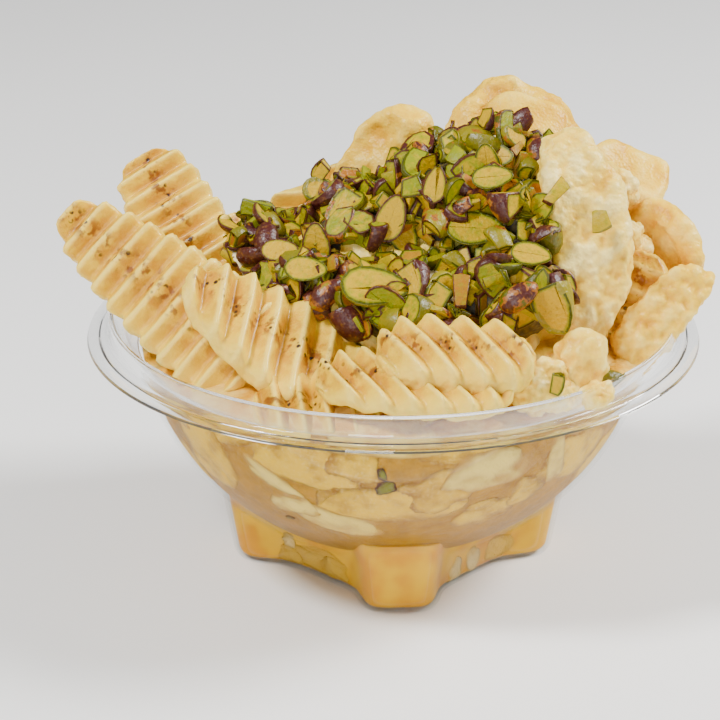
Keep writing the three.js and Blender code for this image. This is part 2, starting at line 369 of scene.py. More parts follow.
def seen(at: Point, angle: float, away: float = 0.0, tip: float = 0.0) -> tuple[Point, Point, Point]:
    """The place, direction and facing of a piece, from how it is to look from the camera.

    Args:
        at: Its middle, in millimetres.
        angle: Where its length points, in degrees counterclockwise from the right.
        away: How far that end leans away from the camera, in degrees.
        tip: How far its face is turned about its length, in degrees.

    Returns:
        The place, the direction of its length, and the direction of its face.
    """
    sight = (Vector(CAMERA_AT) - Vector(at)).normalized()
    right = Vector((0, 0, 1)).cross(sight).normalized()
    angle, away, tip = math.radians(angle), math.radians(away), math.radians(tip)
    flat = right * math.cos(angle) + sight.cross(right) * math.sin(angle)
    toward = flat * math.cos(away) - sight * math.sin(away)
    facing = flat * math.sin(away) + sight * math.cos(away)
    return at, tuple(toward), tuple(facing * math.cos(tip) + facing.cross(toward) * math.sin(tip))


def aslant(angle: float) -> Point:
    """A direction across the line of sight, at an angle in degrees counterclockwise from the right."""
    angle, tilt = math.radians(angle), math.radians(CAMERA_TILT)
    return math.cos(angle), math.sin(angle) * math.cos(tilt), math.sin(angle) * math.sin(tilt)


def moved(points: np.ndarray, place: Matrix) -> np.ndarray:
    """Points of a piece carried to its place."""
    turn = np.array(place.to_3x3())
    return points @ turn.T + np.array(place.translation)


def polar(points: np.ndarray) -> tuple[np.ndarray, np.ndarray]:
    """The angle round the Z axis and the distance from it of each point."""
    return np.arctan2(points[:, 1], points[:, 0]), np.hypot(points[:, 0], points[:, 1])


def upright(theta: np.ndarray, r: np.ndarray, z: np.ndarray) -> np.ndarray:
    """Points from their angle round the Z axis, their distance from it, and their height."""
    return np.stack([r * np.cos(theta), r * np.sin(theta), z], 1)


def turned(x: np.ndarray, y: np.ndarray, degrees: float) -> tuple[np.ndarray, np.ndarray]:
    """X and Y turned counterclockwise."""
    angle = math.radians(degrees)
    return x * math.cos(angle) - y * math.sin(angle), x * math.sin(angle) + y * math.cos(angle)


# ---- Finishes ----


def colour(code: str) -> tuple[float, float, float, float]:
    """A colour code such as "f2d492" as the linear colour that a shader takes.

    Args:
        code: Two hex digits each for red, green and blue.

    Returns:
        Red, green, blue, and an alpha of 1.
    """
    parts = [int(code[i:i + 2], 16) / 255 for i in (0, 2, 4)]
    linear = [c / 12.92 if c <= 0.04045 else ((c + 0.055) / 1.055) ** 2.4 for c in parts]
    return (*linear, 1.0)


class Recipe:
    """A node material in the making. Its patterns read Object coordinates."""

    def __init__(self, name: str) -> None:
        """Starts an empty material with this name.

        Args:
            name: The name of the material.
        """
        self.material = bpy.data.materials.new(name)
        self.material.use_nodes = True
        self.tree = self.material.node_tree
        self.tree.nodes.clear()
        self.place = self.node("ShaderNodeTexCoord").outputs["Object"]

    def node(self, kind: str, inputs: dict | None = None, **settings: object) -> bpy.types.Node:
        """Adds a node.

        Args:
            kind: Its type.
            inputs: Values or sockets for its inputs, by name or index.
            settings: Its own settings.

        Returns:
            The node.
        """
        made = self.tree.nodes.new(kind)
        for name, value in settings.items():
            setattr(made, name, value)
        for name, value in (inputs or {}).items():
            self.feed(made.inputs[name], value)
        return made

    def feed(self, socket: Socket, value: object) -> None:
        """Links a socket to a socket, or sets a constant, which may be a colour code.

        Args:
            socket: The input.
            value: The socket or the constant that it gets.
        """
        if isinstance(value, Socket):
            self.tree.links.new(value, socket)
        else:
            socket.default_value = colour(value) if isinstance(value, str) else value

    def noise(self, size: float, detail: float = 3,
              contrast: tuple[float, float] | None = None) -> Socket:
        """Cloudy noise with lumps of a size in millimetres.

        Args:
            size: The size of the lumps.
            detail: How many finer layers it has.
            contrast: The range that is spread over 0 to 1.

        Returns:
            The noise, 0 to 1.
        """
        inputs = {"Vector": self.place, "Scale": 1 / (size * MM), "Detail": detail}
        made = self.node("ShaderNodeTexNoise", inputs).outputs["Fac"]
        return self.spread(made, *contrast) if contrast else made

    def drift(self, reach: float, size: float, detail: float = 3) -> Socket:
        """Noise that drifts half of a reach either side of zero."""
        return self.times(self.math("SUBTRACT", self.noise(size, detail), 0.5), reach)

    def cells(self, size: float) -> Socket:
        """Distance to the middle of cells of a size in millimetres."""
        inputs = {"Vector": self.place, "Scale": 1 / (size * MM)}
        return self.node("ShaderNodeTexVoronoi", inputs).outputs["Distance"]

    def stored(self, name: str) -> Socket:
        """A number that was stored on the mesh."""
        return self.node("ShaderNodeAttribute", attribute_name=name).outputs["Fac"]

    def spread(self, value: Socket, low: float, high: float) -> Socket:
        """Spreads the range from low to high over 0 to 1, smoothly, and cuts off the rest.

        Args:
            value: The socket to spread.
            low: The value that becomes 0.
            high: The value that becomes 1.

        Returns:
            The spread value.
        """
        inputs = {"Value": value, "From Min": low, "From Max": high}
        made = self.node("ShaderNodeMapRange", inputs, interpolation_type="SMOOTHSTEP", clamp=True)
        return made.outputs["Result"]

    def height(self) -> Socket:
        """The height above the table, in metres."""
        return self.node("ShaderNodeSeparateXYZ", {0: self.place}).outputs["Z"]

    def tint(self) -> bpy.types.bpy_prop_collection:
        """What each kernel stores: Red is how green it is, Green is its skin, and Blue is how dry it is."""
        stored = self.node("ShaderNodeAttribute", attribute_name="tint").outputs["Color"]
        return self.node("ShaderNodeSeparateColor", {"Color": stored}).outputs

    def math(self, operation: str, a: object, b: object = 0.0) -> Socket:
        """The result of an operation on two numbers or sockets."""
        return self.node("ShaderNodeMath", {0: a, 1: b}, operation=operation, use_clamp=False).outputs[0]

    def times(self, a: object, b: object) -> Socket:
        """The product of two numbers or sockets."""
        return self.math("MULTIPLY", a, b)

    def mix(self, share: object, a: object, b: object) -> Socket:
        """Colour a, with b over it by a share."""
        return self.node("ShaderNodeMix", {0: share, 6: a, 7: b}, data_type="RGBA").outputs[2]

    def over(self, tone: object, other: object, value: Socket, ends: tuple[float, float],
             most: float = 1.0) -> Socket:
        """A colour with another over it, by how far a value has come from one end of a range to the other.

        Args:
            tone: The colour below.
            other: The colour over it.
            value: What is measured.
            ends: Where the other colour starts, and where it is at its most.
            most: Its share there.
        """
        share = self.spread(value, *ends)
        return self.mix(share if most == 1 else self.times(share, most), tone, other)

    def clouded(self, tone: object, other: object, size: float, detail: float, ends: tuple[float, float],
                most: float = 1.0) -> Socket:
        """A colour with clouds of another over it.

        Args:
            tone: The colour below.
            other: The colour of the clouds.
            size: The size of the clouds, in millimetres.
            detail: How many finer layers they have.
            ends: The values of the noise where a cloud starts and where it is at its most.
            most: Its share there.
        """
        return self.over(tone, other, self.noise(size, detail), ends, most)

    def bump(self, height: Socket, depth: float, under: Socket | None = None,
             strength: float = 1.0) -> Socket:
        """Bumps in the surface.

        Args:
            height: How high each point is, 0 to 1.
            depth: What the whole range stands for, in millimetres.
            under: Other bumps that these go over.
            strength: How strongly they count.

        Returns:
            The normal with its bumps.
        """
        inputs = {"Height": height, "Distance": depth * MM, "Strength": strength}
        if under:
            inputs["Normal"] = under
        return self.node("ShaderNodeBump", inputs).outputs["Normal"]

    def shader(self, **inputs: object) -> bpy.types.Node:
        """The main shader, with an underscore in a name for each space."""
        spaced = {name.replace("_", " "): value for name, value in inputs.items()}
        return self.node("ShaderNodeBsdfPrincipled", spaced)

    def finished(self, shader: bpy.types.Node) -> Finish:
        """The material, with this shader as its surface."""
        self.node("ShaderNodeOutputMaterial", {"Surface": shader.outputs[0]})
        return self.material

    def surfaced(self, **inputs: object) -> Finish:
        """The material, with the main shader as its surface."""
        return self.finished(self.shader(**inputs))


@dataclass(frozen=True)
class ClearPlastic:
    """Thin, clear, thermoformed plastic. Most light goes straight through it where food wets the wall."""

    tint: str = "fbfcfc"
    refraction: float = 1.4
    roughness: float = 0.03
    wet_share: float = 0.9

    def material(self) -> Finish:
        """Builds the finish: clear, and light falls through it.

        Returns:
            The material.
        """
        recipe = Recipe("clear_plastic")
        waviness = recipe.bump(recipe.noise(14, 1), 0.25, strength=0.35)
        plastic = recipe.shader(
            Base_Color=self.tint, Roughness=self.roughness, IOR=self.refraction,
            Transmission_Weight=1.0, Normal=waviness)
        through = recipe.node("ShaderNodeBsdfTransparent", {"Color": self.tint})
        path = recipe.node("ShaderNodeLightPath").outputs
        straight = recipe.math("MAXIMUM", path["Is Shadow Ray"], path["Is Diffuse Ray"])
        deep = recipe.math("GREATER_THAN", path["Ray Depth"], 3.5)
        wet_wall = recipe.times(recipe.spread(recipe.height(), 56 * MM, 52 * MM), self.wet_share)
        for share in (deep, wet_wall):
            straight = recipe.math("MAXIMUM", straight, share)
        both = {0: straight, 1: plastic.outputs[0], 2: through.outputs[0]}
        return recipe.finished(recipe.node("ShaderNodeMixShader", both))


@dataclass(frozen=True)
class BananaFlesh:
    """Moist cut banana: pale edges, amber towards the middle, and a line of seeds along the middle, with a
    painted highlight on the crests of the ribs and painted shade that deepens the amber in their valleys.
    """

    pale: str = "f8d75e"
    light: str = "f0c726"
    flesh: str = "e6b604"
    amber: str = "c88c02"
    seed: str = "2a1208"
    stain: str = "7c3e0c"

    def material(self) -> Finish:
        """Builds the finish from what each slice stores: across, crest and side.

        Returns:
            The material.
        """
        recipe = Recipe("banana_flesh")
        crest = recipe.stored("crest")
        side = recipe.stored("side")
        face = recipe.math("SUBTRACT", 1.0, side)
        across = recipe.math("ADD", recipe.stored("across"), recipe.drift(0.4, 9))
        off_middle = recipe.math("ABSOLUTE", across)
        near_middle = recipe.times(recipe.spread(off_middle, 0.85, 0.25), face)
        # Painted shade: the amber near the middle goes deeper in the valleys between the ribs, away from the
        # crests.
        low = recipe.math("SUBTRACT", recipe.noise(3.4, 4), recipe.times(crest, 0.32))
        flesh = recipe.clouded(self.light, self.flesh, 4, 4, (0.35, 0.65))
        flesh = recipe.mix(recipe.times(recipe.spread(low, 0.12, 0.5), near_middle), flesh, self.amber)
        flesh = recipe.over(flesh, self.pale, off_middle, (0.55, 1.0), 0.55)
        # Painted highlight: pale along the crests of the ribs.
        flesh = recipe.over(flesh, self.pale, crest, (0.72, 0.95), 0.75)
        flesh = recipe.mix(recipe.times(side, 0.3), flesh, self.pale)
        seed_line = recipe.times(recipe.spread(off_middle, 0.36, 0.08), face)
        stain = recipe.times(seed_line, recipe.noise(2.6, 4, (0.5, 0.62)))
        flesh = recipe.mix(recipe.times(stain, 0.85), flesh, self.stain)
        sparse = recipe.times(seed_line, recipe.noise(4, 2, (0.5, 0.55)))
        specks = recipe.times(recipe.spread(recipe.cells(2.1), 0.36, 0.2), sparse)
        flesh = recipe.mix(specks, flesh, self.seed)
        grain = recipe.bump(recipe.noise(0.8, 4), 0.25, strength=0.8)
        return recipe.surfaced(
            Base_Color=flesh, Roughness=0.4, Specular_IOR_Level=0.3, Normal=grain, Subsurface_Weight=0.2,
            Subsurface_Radius=(1.0, 0.5, 0.15), Subsurface_Scale=1.5 * MM,
            Coat_Weight=0.16, Coat_Roughness=0.1)


@dataclass(frozen=True)
class ClottedCream:
    """Thick cream: pale and porous, with painted shade that turns it yellow in its hollows."""

    name: str = "clotted_cream"
    light: str = "fcd660"
    middle: str = "f2c226"
    deep: str = "dea004"

    def material(self) -> Finish:
        """Builds the finish: painted shade makes the hollows that the piece stores yellow.

        Returns:
            The material.
        """
        recipe = Recipe(self.name)
        # Painted shade: the middle and deep tones fill the hollows that the piece stores.
        hollow = recipe.math("ADD", recipe.stored("hollow"), recipe.drift(0.9, 6, 4))
        tone = recipe.over(self.light, self.middle, hollow, (0.15, 0.55))
        tone = recipe.over(tone, self.deep, hollow, (0.48, 0.9))
        broad = recipe.bump(recipe.noise(1.8, 5), 0.45, strength=0.6)
        pores = recipe.bump(recipe.cells(0.8), 0.25, broad, strength=0.5)
        return recipe.surfaced(
            Base_Color=tone, Roughness=0.4, Specular_IOR_Level=0.3, Normal=pores, Subsurface_Weight=0.2,
            Subsurface_Radius=(1.0, 0.7, 0.35), Subsurface_Scale=2 * MM)


@dataclass(frozen=True)
class PressedFood:
    """Food pressed against the wall: one colour where it touches, and a deeper one round the patch, which is
    painted shade where the pieces meet.
    """

    name: str
    touching: str
    edge: str
    grain: float = 1.0
    frost: str = "f4d070"
    bare_light: str = "f2cc66"
    bare_deep: str = "dea020"

    def material(self) -> Finish:
        """Builds the finish from how hard each point is pressed, which the piece stores.

        Returns:
            The material.
        """
        recipe = Recipe(self.name)
        pressed = recipe.math("ADD", recipe.stored("press"), recipe.drift(0.7, 3, 4))
        # Painted shade: the deeper colour round each patch, where the pieces meet.
        tone = recipe.over(self.edge, self.touching, pressed, (0.0, 0.85))
        tone = recipe.clouded(tone, self.edge, 5, 4, (0.45, 0.75), 0.55)
        tone = recipe.clouded(tone, self.frost, 0.7, 2, (0.5, 0.7), 0.4 * self.grain)
        # Painted shade: darker towards the bottom of the bowl.
        tone = recipe.over(tone, self.edge, recipe.height(), (36 * MM, 16 * MM), 0.5)
        bared = recipe.clouded(self.bare_light, self.bare_deep, 5, 4, (0.4, 0.6))
        tone = recipe.over(tone, bared, recipe.height(), (55 * MM, 57 * MM))
        broad = recipe.bump(pressed, 1.6, strength=0.9)
        return recipe.surfaced(
            Base_Color=tone, Roughness=0.5, Specular_IOR_Level=0.08,
            Normal=recipe.bump(recipe.noise(1.2, 4), 0.4, broad, strength=0.7))


@dataclass(frozen=True)
class Sauce:
    """Smooth yellow banana sauce."""

    light: str = "eeb400"
    deep: str = "da9000"

    def material(self) -> Finish:
        """Builds the finish: glossy, with slow drifts of a deeper yellow.

        Returns:
            The material.
        """
        recipe = Recipe("banana_sauce")
        tone = recipe.clouded(self.light, self.deep, 9, 3, (0.35, 0.65))
        return recipe.surfaced(Base_Color=tone, Roughness=0.4, Specular_IOR_Level=0.1)


@dataclass(frozen=True)
class NutFlesh:
    """The cut face of a pistachio kernel: yellow inside, and green towards its rim."""

    yellow: str = "c29a00"
    olive: str = "808602"
    rim: str = "3e4404"
    dry: str = "a4640e"
    skin_edge: str = "481a12"
    speck: str = "7c5a08"

    def material(self) -> Finish:
        """Builds the finish from the tint and the inner part of the face, which each kernel stores.

        Returns:
            The material.
        """
        recipe = Recipe("pistachio_flesh")
        tint = recipe.tint()
        grain = recipe.drift(1.5, 1.6, 4)
        tone = recipe.over(self.yellow, self.olive, recipe.math("ADD", tint["Red"], grain), (0.25, 0.95))
        tone = recipe.over(tone, self.dry, tint["Blue"], (0.82, 0.88))
        tone = recipe.clouded(tone, self.speck, 1.1, 4, (0.56, 0.7), 0.4)
        inside = recipe.math("ADD", recipe.stored("inner"), recipe.times(grain, 0.5))
        rim = recipe.over(self.rim, self.skin_edge, tint["Green"], (0.3, 0.5))
        tone = recipe.over(tone, self.olive, inside, (0.95, 0.5), 0.75)
        tone = recipe.over(tone, rim, inside, (0.5, 0.0), 0.95)
        return recipe.surfaced(
            Base_Color=tone, Roughness=0.4, Specular_IOR_Level=0.2,
            Normal=recipe.bump(recipe.noise(0.9, 4), 0.35, strength=0.8))


@dataclass(frozen=True)
class NutSkin:
    """The outside of a pistachio kernel: green where it is bare, purple or tan where its skin is on."""

    green: str = "8a7e02"
    deep_green: str = "3a4202"
    purple: str = "441814"
    tan: str = "96580e"
    fleck: str = "a8741c"

    def material(self) -> Finish:
        """Builds the finish from the tint that each kernel stores, in patches.

        Returns:
            The material.
        """
        recipe = Recipe("pistachio_skin")
        tint = recipe.tint()
        kind = recipe.math("ADD", tint["Green"], recipe.drift(1.1, 2.6, 4))
        tone = recipe.mix(tint["Red"], self.green, self.deep_green)
        tone = recipe.over(tone, self.tan, kind, (0.43, 0.49))
        tone = recipe.over(tone, self.purple, kind, (0.52, 0.59))
        tone = recipe.clouded(tone, self.fleck, 0.9, 4, (0.5, 0.8), 0.35)
        return recipe.surfaced(
            Base_Color=tone, Roughness=0.36, Specular_IOR_Level=0.4,
            Normal=recipe.bump(recipe.noise(1.1, 4), 0.4, strength=0.9),
            Coat_Weight=0.08, Coat_Roughness=0.2)


@dataclass(frozen=True)
class CrumbedShadedCream:
    """The cream under the nuts: covered in dark crumbs of nut, which are also painted shade in the gaps
    between the nuts, and bare where the piece says so.
    """

    cream: str = "f8e8b8"
    crumb: str = "5a4a0a"
    crumbs_and_gap_shade: str = "1c1406"

    def material(self) -> Finish:
        """Builds the finish from the bareness that the piece stores.

        Returns:
            The material.
        """
        recipe = Recipe("cream_bed")
        # Painted shade: the darkest crumbs stand for the shade between the nuts.
        crumbs = recipe.clouded(self.crumb, self.crumbs_and_gap_shade, 1.5, 4, (0.35, 0.65))
        bare = recipe.math("ADD", recipe.stored("bare"), recipe.drift(0.9, 2.2))
        tone = recipe.over(crumbs, self.cream, bare, (0.4, 0.6))
        return recipe.surfaced(
            Base_Color=tone, Roughness=0.6, Normal=recipe.bump(recipe.noise(1.4, 4), 0.4, strength=0.8))


def present(piece: Piece, slot: Slot, finish: Finish | None, *nodes: str) -> None:
    """Gives a finished piece its looks, and lets it ride on the bowl in place of its nodes.

    Args:
        piece: The piece.
        slot: The slot that the record lists for it; not used.
        finish: Its finish, unless it has finishes already.
        nodes: The nodes that it stands for. Without any, it is an addition.
    """
    if finish:
        piece.data.materials.clear()
        piece.data.materials.append(finish)
    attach(piece, "root")
    if nodes:
        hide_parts(*nodes)
    stands_for = ", ".join(nodes) or "itself"
    LOG.info("%s: %d faces, stands for %s", piece.name, len(piece.data.polygons), stands_for)


# ---- The bowl ----


@dataclass
class Bowl:
    """The clear bowl: a round basin over a base with four hollow feet. Sizes in millimetres."""

    wall: float = 0.7
    basin_radius: float = 63.5
    basin_centre: float = 67.2
    base_apothem: float = 26.8
    foot_reach: float = 39.0
    foot_spread: float = math.radians(14.5)
    foot_edge: float = math.radians(2.6)
    turn: float = math.radians(2.4)
    flare: float = 3.5
    base_height: float = 21.0
    rounding: float = 3.0
    blend: float = 1.3
    segments: int = 192
    start: float = 5.0
    floor_radius: float = 29.5

    def outline(self, theta: np.ndarray, z: np.ndarray) -> np.ndarray:
        """Radius of the base: a square whose corners are drawn out into flat-fronted feet.

        Args:
            theta: The angle round the bowl of each point.
            z: Its height.

        Returns:
            The radius at each point, in millimetres.
        """
        quarter = math.pi / 2
        turned = theta - self.turn
        from_foot = np.abs(turned - np.round(turned / quarter) * quarter)
        side = self.base_apothem / np.cos(quarter / 2 - from_foot)
        front = self.foot_reach / np.cos(from_foot)
        spread = self.foot_spread * (1 + 0.16 * z / self.base_height)
        foot_share = 1 / (1 + np.exp((from_foot - spread) / self.foot_edge))
        return side + (front - side) * foot_share + self.flare * z / self.base_height

    def foot_radius(self, theta: np.ndarray, z: np.ndarray, inset: float) -> np.ndarray:
        """Radius of a foot, or of the side between two feet.

        Args:
            theta: The angle round the bowl of each point.
            z: Its height.
            inset: How far inside the outer face it is.

        Returns:
            The radius at each point, in millimetres.
        """
        step = 0.01
        outline = self.outline(theta, z)
        change = self.outline(theta + step, z) - self.outline(theta - step, z)
        slant = change / (2 * step * outline)
        rounding = self.rounding - inset
        depth = np.clip(1 - (z - inset) / rounding, 0, 1)
        tuck = rounding * (1 - np.sqrt(1 - depth * depth))
        return outline - inset * np.hypot(1, slant) - tuck

    def basin_reach(self, z: np.ndarray, inset: float) -> np.ndarray:
        """Radius of the basin's sphere at a height, inset from the outside."""
        return np.sqrt(np.maximum(0, (self.basin_radius - inset) ** 2 - (self.basin_centre - z) ** 2))

    def wall_radius(self, theta: np.ndarray, z: np.ndarray, inset: float) -> np.ndarray:
        """Radius of the whole wall: the feet below run into the basin above.

        Args:
            theta: The angle round the bowl of each point.
            z: Its height.
            inset: How far inside the outer face it is.

        Returns:
            The radius at each point, in millimetres.
        """
        basin = self.basin_reach(z, inset)
        foot = self.foot_radius(theta, z, inset)
        joint = 0.5 * (basin + foot + np.hypot(basin - foot, self.blend))
        return np.where(z < 1.4 * self.base_height, joint, basin)

    def rings(self) -> list[tuple[float, float]]:
        """Radius and height of each ring of the outer skin, from the floor's edge to the brim.

        Returns:
            The rings, from the bottom up.
        """
        foot = [0, 0.15, 0.45, 0.9, 1.5, 2.2, *range(3, 10), *np.arange(10, 22.5, 1.5), 24]
        basin = [*np.arange(26, 57, 2.5), 57.0]
        ridge = [(64.2, 58.2), (65.6, 60.0), (67.0, 62.0), (68.0, 63.6), (68.6, 64.6), (69.0, 65.2)]
        ridge += [(69.4, 65.4), (69.8, 65.2), (70.0, 64.6), (70.15, 63.0), (70.3, 61.2), (70.5, 60.3)]
        flange = [(70.9, 59.95), (72.0, 59.85), (72.35, 59.6), (72.45, 59.25), (72.8, 59.05)]
        flange += [(73.8, 59.0), (74.6, 59.05), (75.0, 59.2)]
        rim = ridge + flange
        return [(float(self.basin_reach(z, 0)) + 30, z) for z in foot + basin] + rim

    def build(self) -> Piece:
        """Raises the skin ring by ring from its floor, shapes the feet, and gives it its thickness.

        Returns:
            The bowl, without its finish.
        """
        rings = self.rings()
        deselect()
        bpy.ops.mesh.primitive_circle_add(vertices=self.segments, radius=self.start * MM, fill_type="NGON")
        bowl = named("clear_bowl")
        with editing(bowl, "EDGE"):
            radius, height = self.start, 0.0
            pick(bowl, "edges", lambda edge: True)
            for r, z in [(12, 0), (20, 0), (26, 0), *rings]:
                bpy.ops.mesh.extrude_edges_move(TRANSFORM_OT_translate={"value": (0, 0, (z - height) * MM)})
                factor = r / radius
                bpy.ops.transform.resize(value=(factor, factor, 1), center_override=(0, 0, z * MM))
                radius, height = r, z
        self.shape_feet(bowl)
        faces_outward(bowl)
        applied(bowl, "SOLIDIFY", thickness=self.wall * MM, offset=-1.0, use_even_offset=True)
        points = points_of(bowl)
        points[:, 2] = np.maximum(points[:, 2], 0)
        move_points(bowl, points)
        take(bowl)
        bpy.ops.object.shade_smooth_by_angle(angle=math.radians(40))
        return bowl

    def shape_feet(self, bowl: Piece) -> None:
        """Draws the rings of the base and the basin out to the wall's own form.

        Args:
            bowl: The bowl, still a skin without thickness.
        """
        points = points_of(bowl)
        theta, r = polar(points)
        z = points[:, 2]
        wall = self.wall_radius(theta, z, 0)
        floor = (z < 1e-3) & (r < self.floor_radius)
        target = np.where(floor, r / self.floor_radius * self.wall_radius(theta, 0 * z, 0), wall)
        move_points(bowl, upright(theta, np.where(z > 57.05, r, target), z))

    def dressed(self) -> None:
        """Builds and dresses the bowl in place of its node."""
        present(self.build(), Slot.CLEAR_PLASTIC, ClearPlastic().material(), "bowl")


# ---- What fills the bowl ----


@dataclass(frozen=True)
class Lump:
    """A piece of food pressed against the wall. Millimetres, and degrees round the bowl from +X."""

    theta: float
    z: float
    half_width: float
    half_height: float
    roll: float = 0.0
    depth: float = 5.0
    push: float = 2.0


@dataclass
class Filling:
    """Banana, cream and sauce that fill the bowl and reach just into its wall."""

    bowl: Bowl
    into_wall: float = 0.12
    level: float = 57.0
    crown: float = 4.0
    sauce_level: float = 20.0

    banana = (
        Lump(-109, 46, 15, 8, -12), Lump(-99, 48, 8, 6), Lump(-91, 36, 19, 7.5, 4, push=2.6),
        Lump(-80, 40, 9, 8, 30), Lump(-66, 31, 8, 6, 10), Lump(-55, 36, 6, 6), Lump(-42, 43, 12, 9, -10),
        Lump(-142, 42, 10, 11), Lump(-160, 34, 12, 9), Lump(-25, 36, 11, 9, 15), Lump(-130, 52, 10, 5),
        Lump(-75, 53, 12, 5), Lump(-20, 52, 12, 6), Lump(-165, 50, 12, 6),
    )
    cream = (
        Lump(-121, 41, 9, 3.2, -42), Lump(-105, 29, 11, 5.5, -18, push=2.6), Lump(-68, 45.5, 11, 7, 5),
        Lump(-49, 43, 3.4, 9, 14), Lump(-117, 33, 6, 5), Lump(-150, 50, 8, 4), Lump(-32, 52, 10, 4),
        Lump(-92, 54, 14, 3.4), Lump(-60, 54, 10, 3),
    )
    nuts = (
        Lump(-92.1, 42.3, 2.6, 2.2, 20, depth=2.0, push=1.2),
        Lump(-92.9, 46.4, 1.3, 2.4, 10, depth=2.0, push=1.0),
        Lump(-120.5, 27.5, 1.4, 0.8, depth=2.0, push=1.0),
    )
    base_banana = (
        Lump(-134, 5.5, 11, 4.2, 0), Lump(-120, 4.5, 6, 3.6), Lump(-20, 5.5, 6, 4, 0), Lump(-155, 4, 5, 3),
        Lump(35, 5.5, 9, 4), Lump(80, 5, 7, 3.8), Lump(128, 5.5, 10, 4.2), Lump(168, 5, 5, 3.4),
    )
    base_cream = (
        Lump(-57, 4.4, 2.6, 4.2, 10), Lump(-43, 5.6, 3, 4.4, 10), Lump(-152, 8, 2.5, 2.2),
        Lump(56, 5.4, 3.4, 4), Lump(112, 5, 4, 3.6), Lump(148, 6, 3, 4),
    )

    def scattered(self, rng: np.random.Generator, rows: Sequence[float], count: int) -> list[Lump]:
        """Lumps for the stretch of wall round the back, at random in even rows.

        Args:
            rng: Shifts and shapes them.
            rows: The height of each row of them.
            count: How many a row has.

        Returns:
            The lumps, row by row.
        """
        return [
            Lump(2 + 170 * (place + 0.5 * (row % 2)) / count + float(rng.uniform(-6, 6)),
                 height + float(rng.uniform(-3, 3)), float(rng.uniform(7, 13)), float(rng.uniform(4.5, 7.5)),
                 float(rng.uniform(-30, 30)))
            for row, height in enumerate(rows)
            for place in range(count)
        ]

    def pressed_lump(self, lump: Lump, index: int, kind: int) -> Piece:
        """One lump, flattened where it meets the wall.

        Args:
            lump: Its place and size.
            index: Its number, which shapes it.
            kind: Sets how far it reaches into the wall, so that two kinds never share a surface.

        Returns:
            The lump in its place.
        """
        piece = ball(f"lump_{kind}_{index}", 48, 24)
        points = points_of(piece)
        swell = 1 + 0.26 * soft_noise(points, 0.75, index + 10 * kind) + 0.1 * soft_noise(points, 0.3, index)
        points = blunted(points, 0.8) * swell[:, None]
        points = points * np.array([lump.half_width, lump.half_height, lump.depth])
        points = points @ np.array(Matrix.Rotation(math.radians(lump.roll), 3, "Z")).T
        theta = math.radians(lump.theta)
        centre = np.array([0, 0, self.bowl.basin_centre if lump.z > self.sauce_level else lump.z])
        reach = self.bowl.wall_radius(np.array(theta), np.array(float(lump.z)), self.bowl.wall)
        spot = np.array([reach * math.cos(theta), reach * math.sin(theta), lump.z])
        out = (spot - centre) / np.linalg.norm(spot - centre)
        side = np.array([-math.sin(theta), math.cos(theta), 0])
        up = np.cross(out, side)
        frame_axes = np.stack([side, up, out], 1)
        points = spot - out * (lump.depth - lump.push) + points @ frame_axes.T
        points, press = self.against_wall(points, self.into_wall + 0.06 + 0.05 * kind + 0.004 * (index % 9))
        move_points(piece, points)
        mark(piece, "press", np.clip(press / max(lump.push, 0.1), 0, 1))
        return piece

    def against_wall(self, points: np.ndarray, into: float) -> tuple[np.ndarray, np.ndarray]:
        """Keeps points from going further into the wall than allowed.

        Args:
            points: Points in millimetres.
            into: How far past the inner face of the wall they may go.

        Returns:
            The points, and how far each one was pushed back.
        """
        centre = np.array([0, 0, self.bowl.basin_centre])
        arm = points - centre
        length = np.linalg.norm(arm, axis=1)
        limit = self.bowl.basin_radius - self.bowl.wall + into
        on_sphere = centre + arm * np.minimum(1, limit / length)[:, None]
        z = np.clip(points[:, 2], self.bowl.wall - into, None)
        theta, r = polar(points)
        foot = self.bowl.foot_radius(theta, z, self.bowl.wall - into)
        on_foot = upright(theta, np.minimum(r, foot), z)
        past_sphere = np.linalg.norm(points - on_sphere, axis=1)
        past_foot = np.linalg.norm(points - on_foot, axis=1)
        past_foot[points[:, 2] > self.bowl.base_height] = np.inf
        use_foot = past_foot < past_sphere
        return np.where(use_foot[:, None], on_foot, on_sphere), np.minimum(past_foot, past_sphere)

    def core(self) -> Piece:
        """The body of the filling, which shows between the lumps and at the top.

        Returns:
            The core, with how hard it is pressed stored on it.
        """
        core = ball("filling_core", 128, 80)
        points = points_of(core) * (self.bowl.basin_radius - self.bowl.wall + self.into_wall)
        points[:, 2] += self.bowl.basin_centre
        r = polar(points)[1]
        rim = float(self.bowl.basin_reach(np.array(self.level), self.bowl.wall))
        lid = self.level + self.crown * (1 - np.clip(r / rim, 0, 1) ** 4)
        lumps = 1.8 * soft_noise(points * [1, 1, 0], 11, 3) + 1.2 * soft_noise(points * [1, 1, 0], 4.5, 5)
        inner = np.clip((rim - r) / 6, 0, 1)
        points[:, 2] = np.maximum(points[:, 2], 2 * self.bowl.wall)
        above = points[:, 2] > self.level
        points[:, 2] = np.where(above, lid + lumps * inner, points[:, 2])
        points[above, :2] *= np.minimum(1, rim / np.maximum(r[above], 1e-6))[:, None]
        move_points(core, points)
        mark(core, "press", np.full(len(points), 0.5))
        return smooth(core)

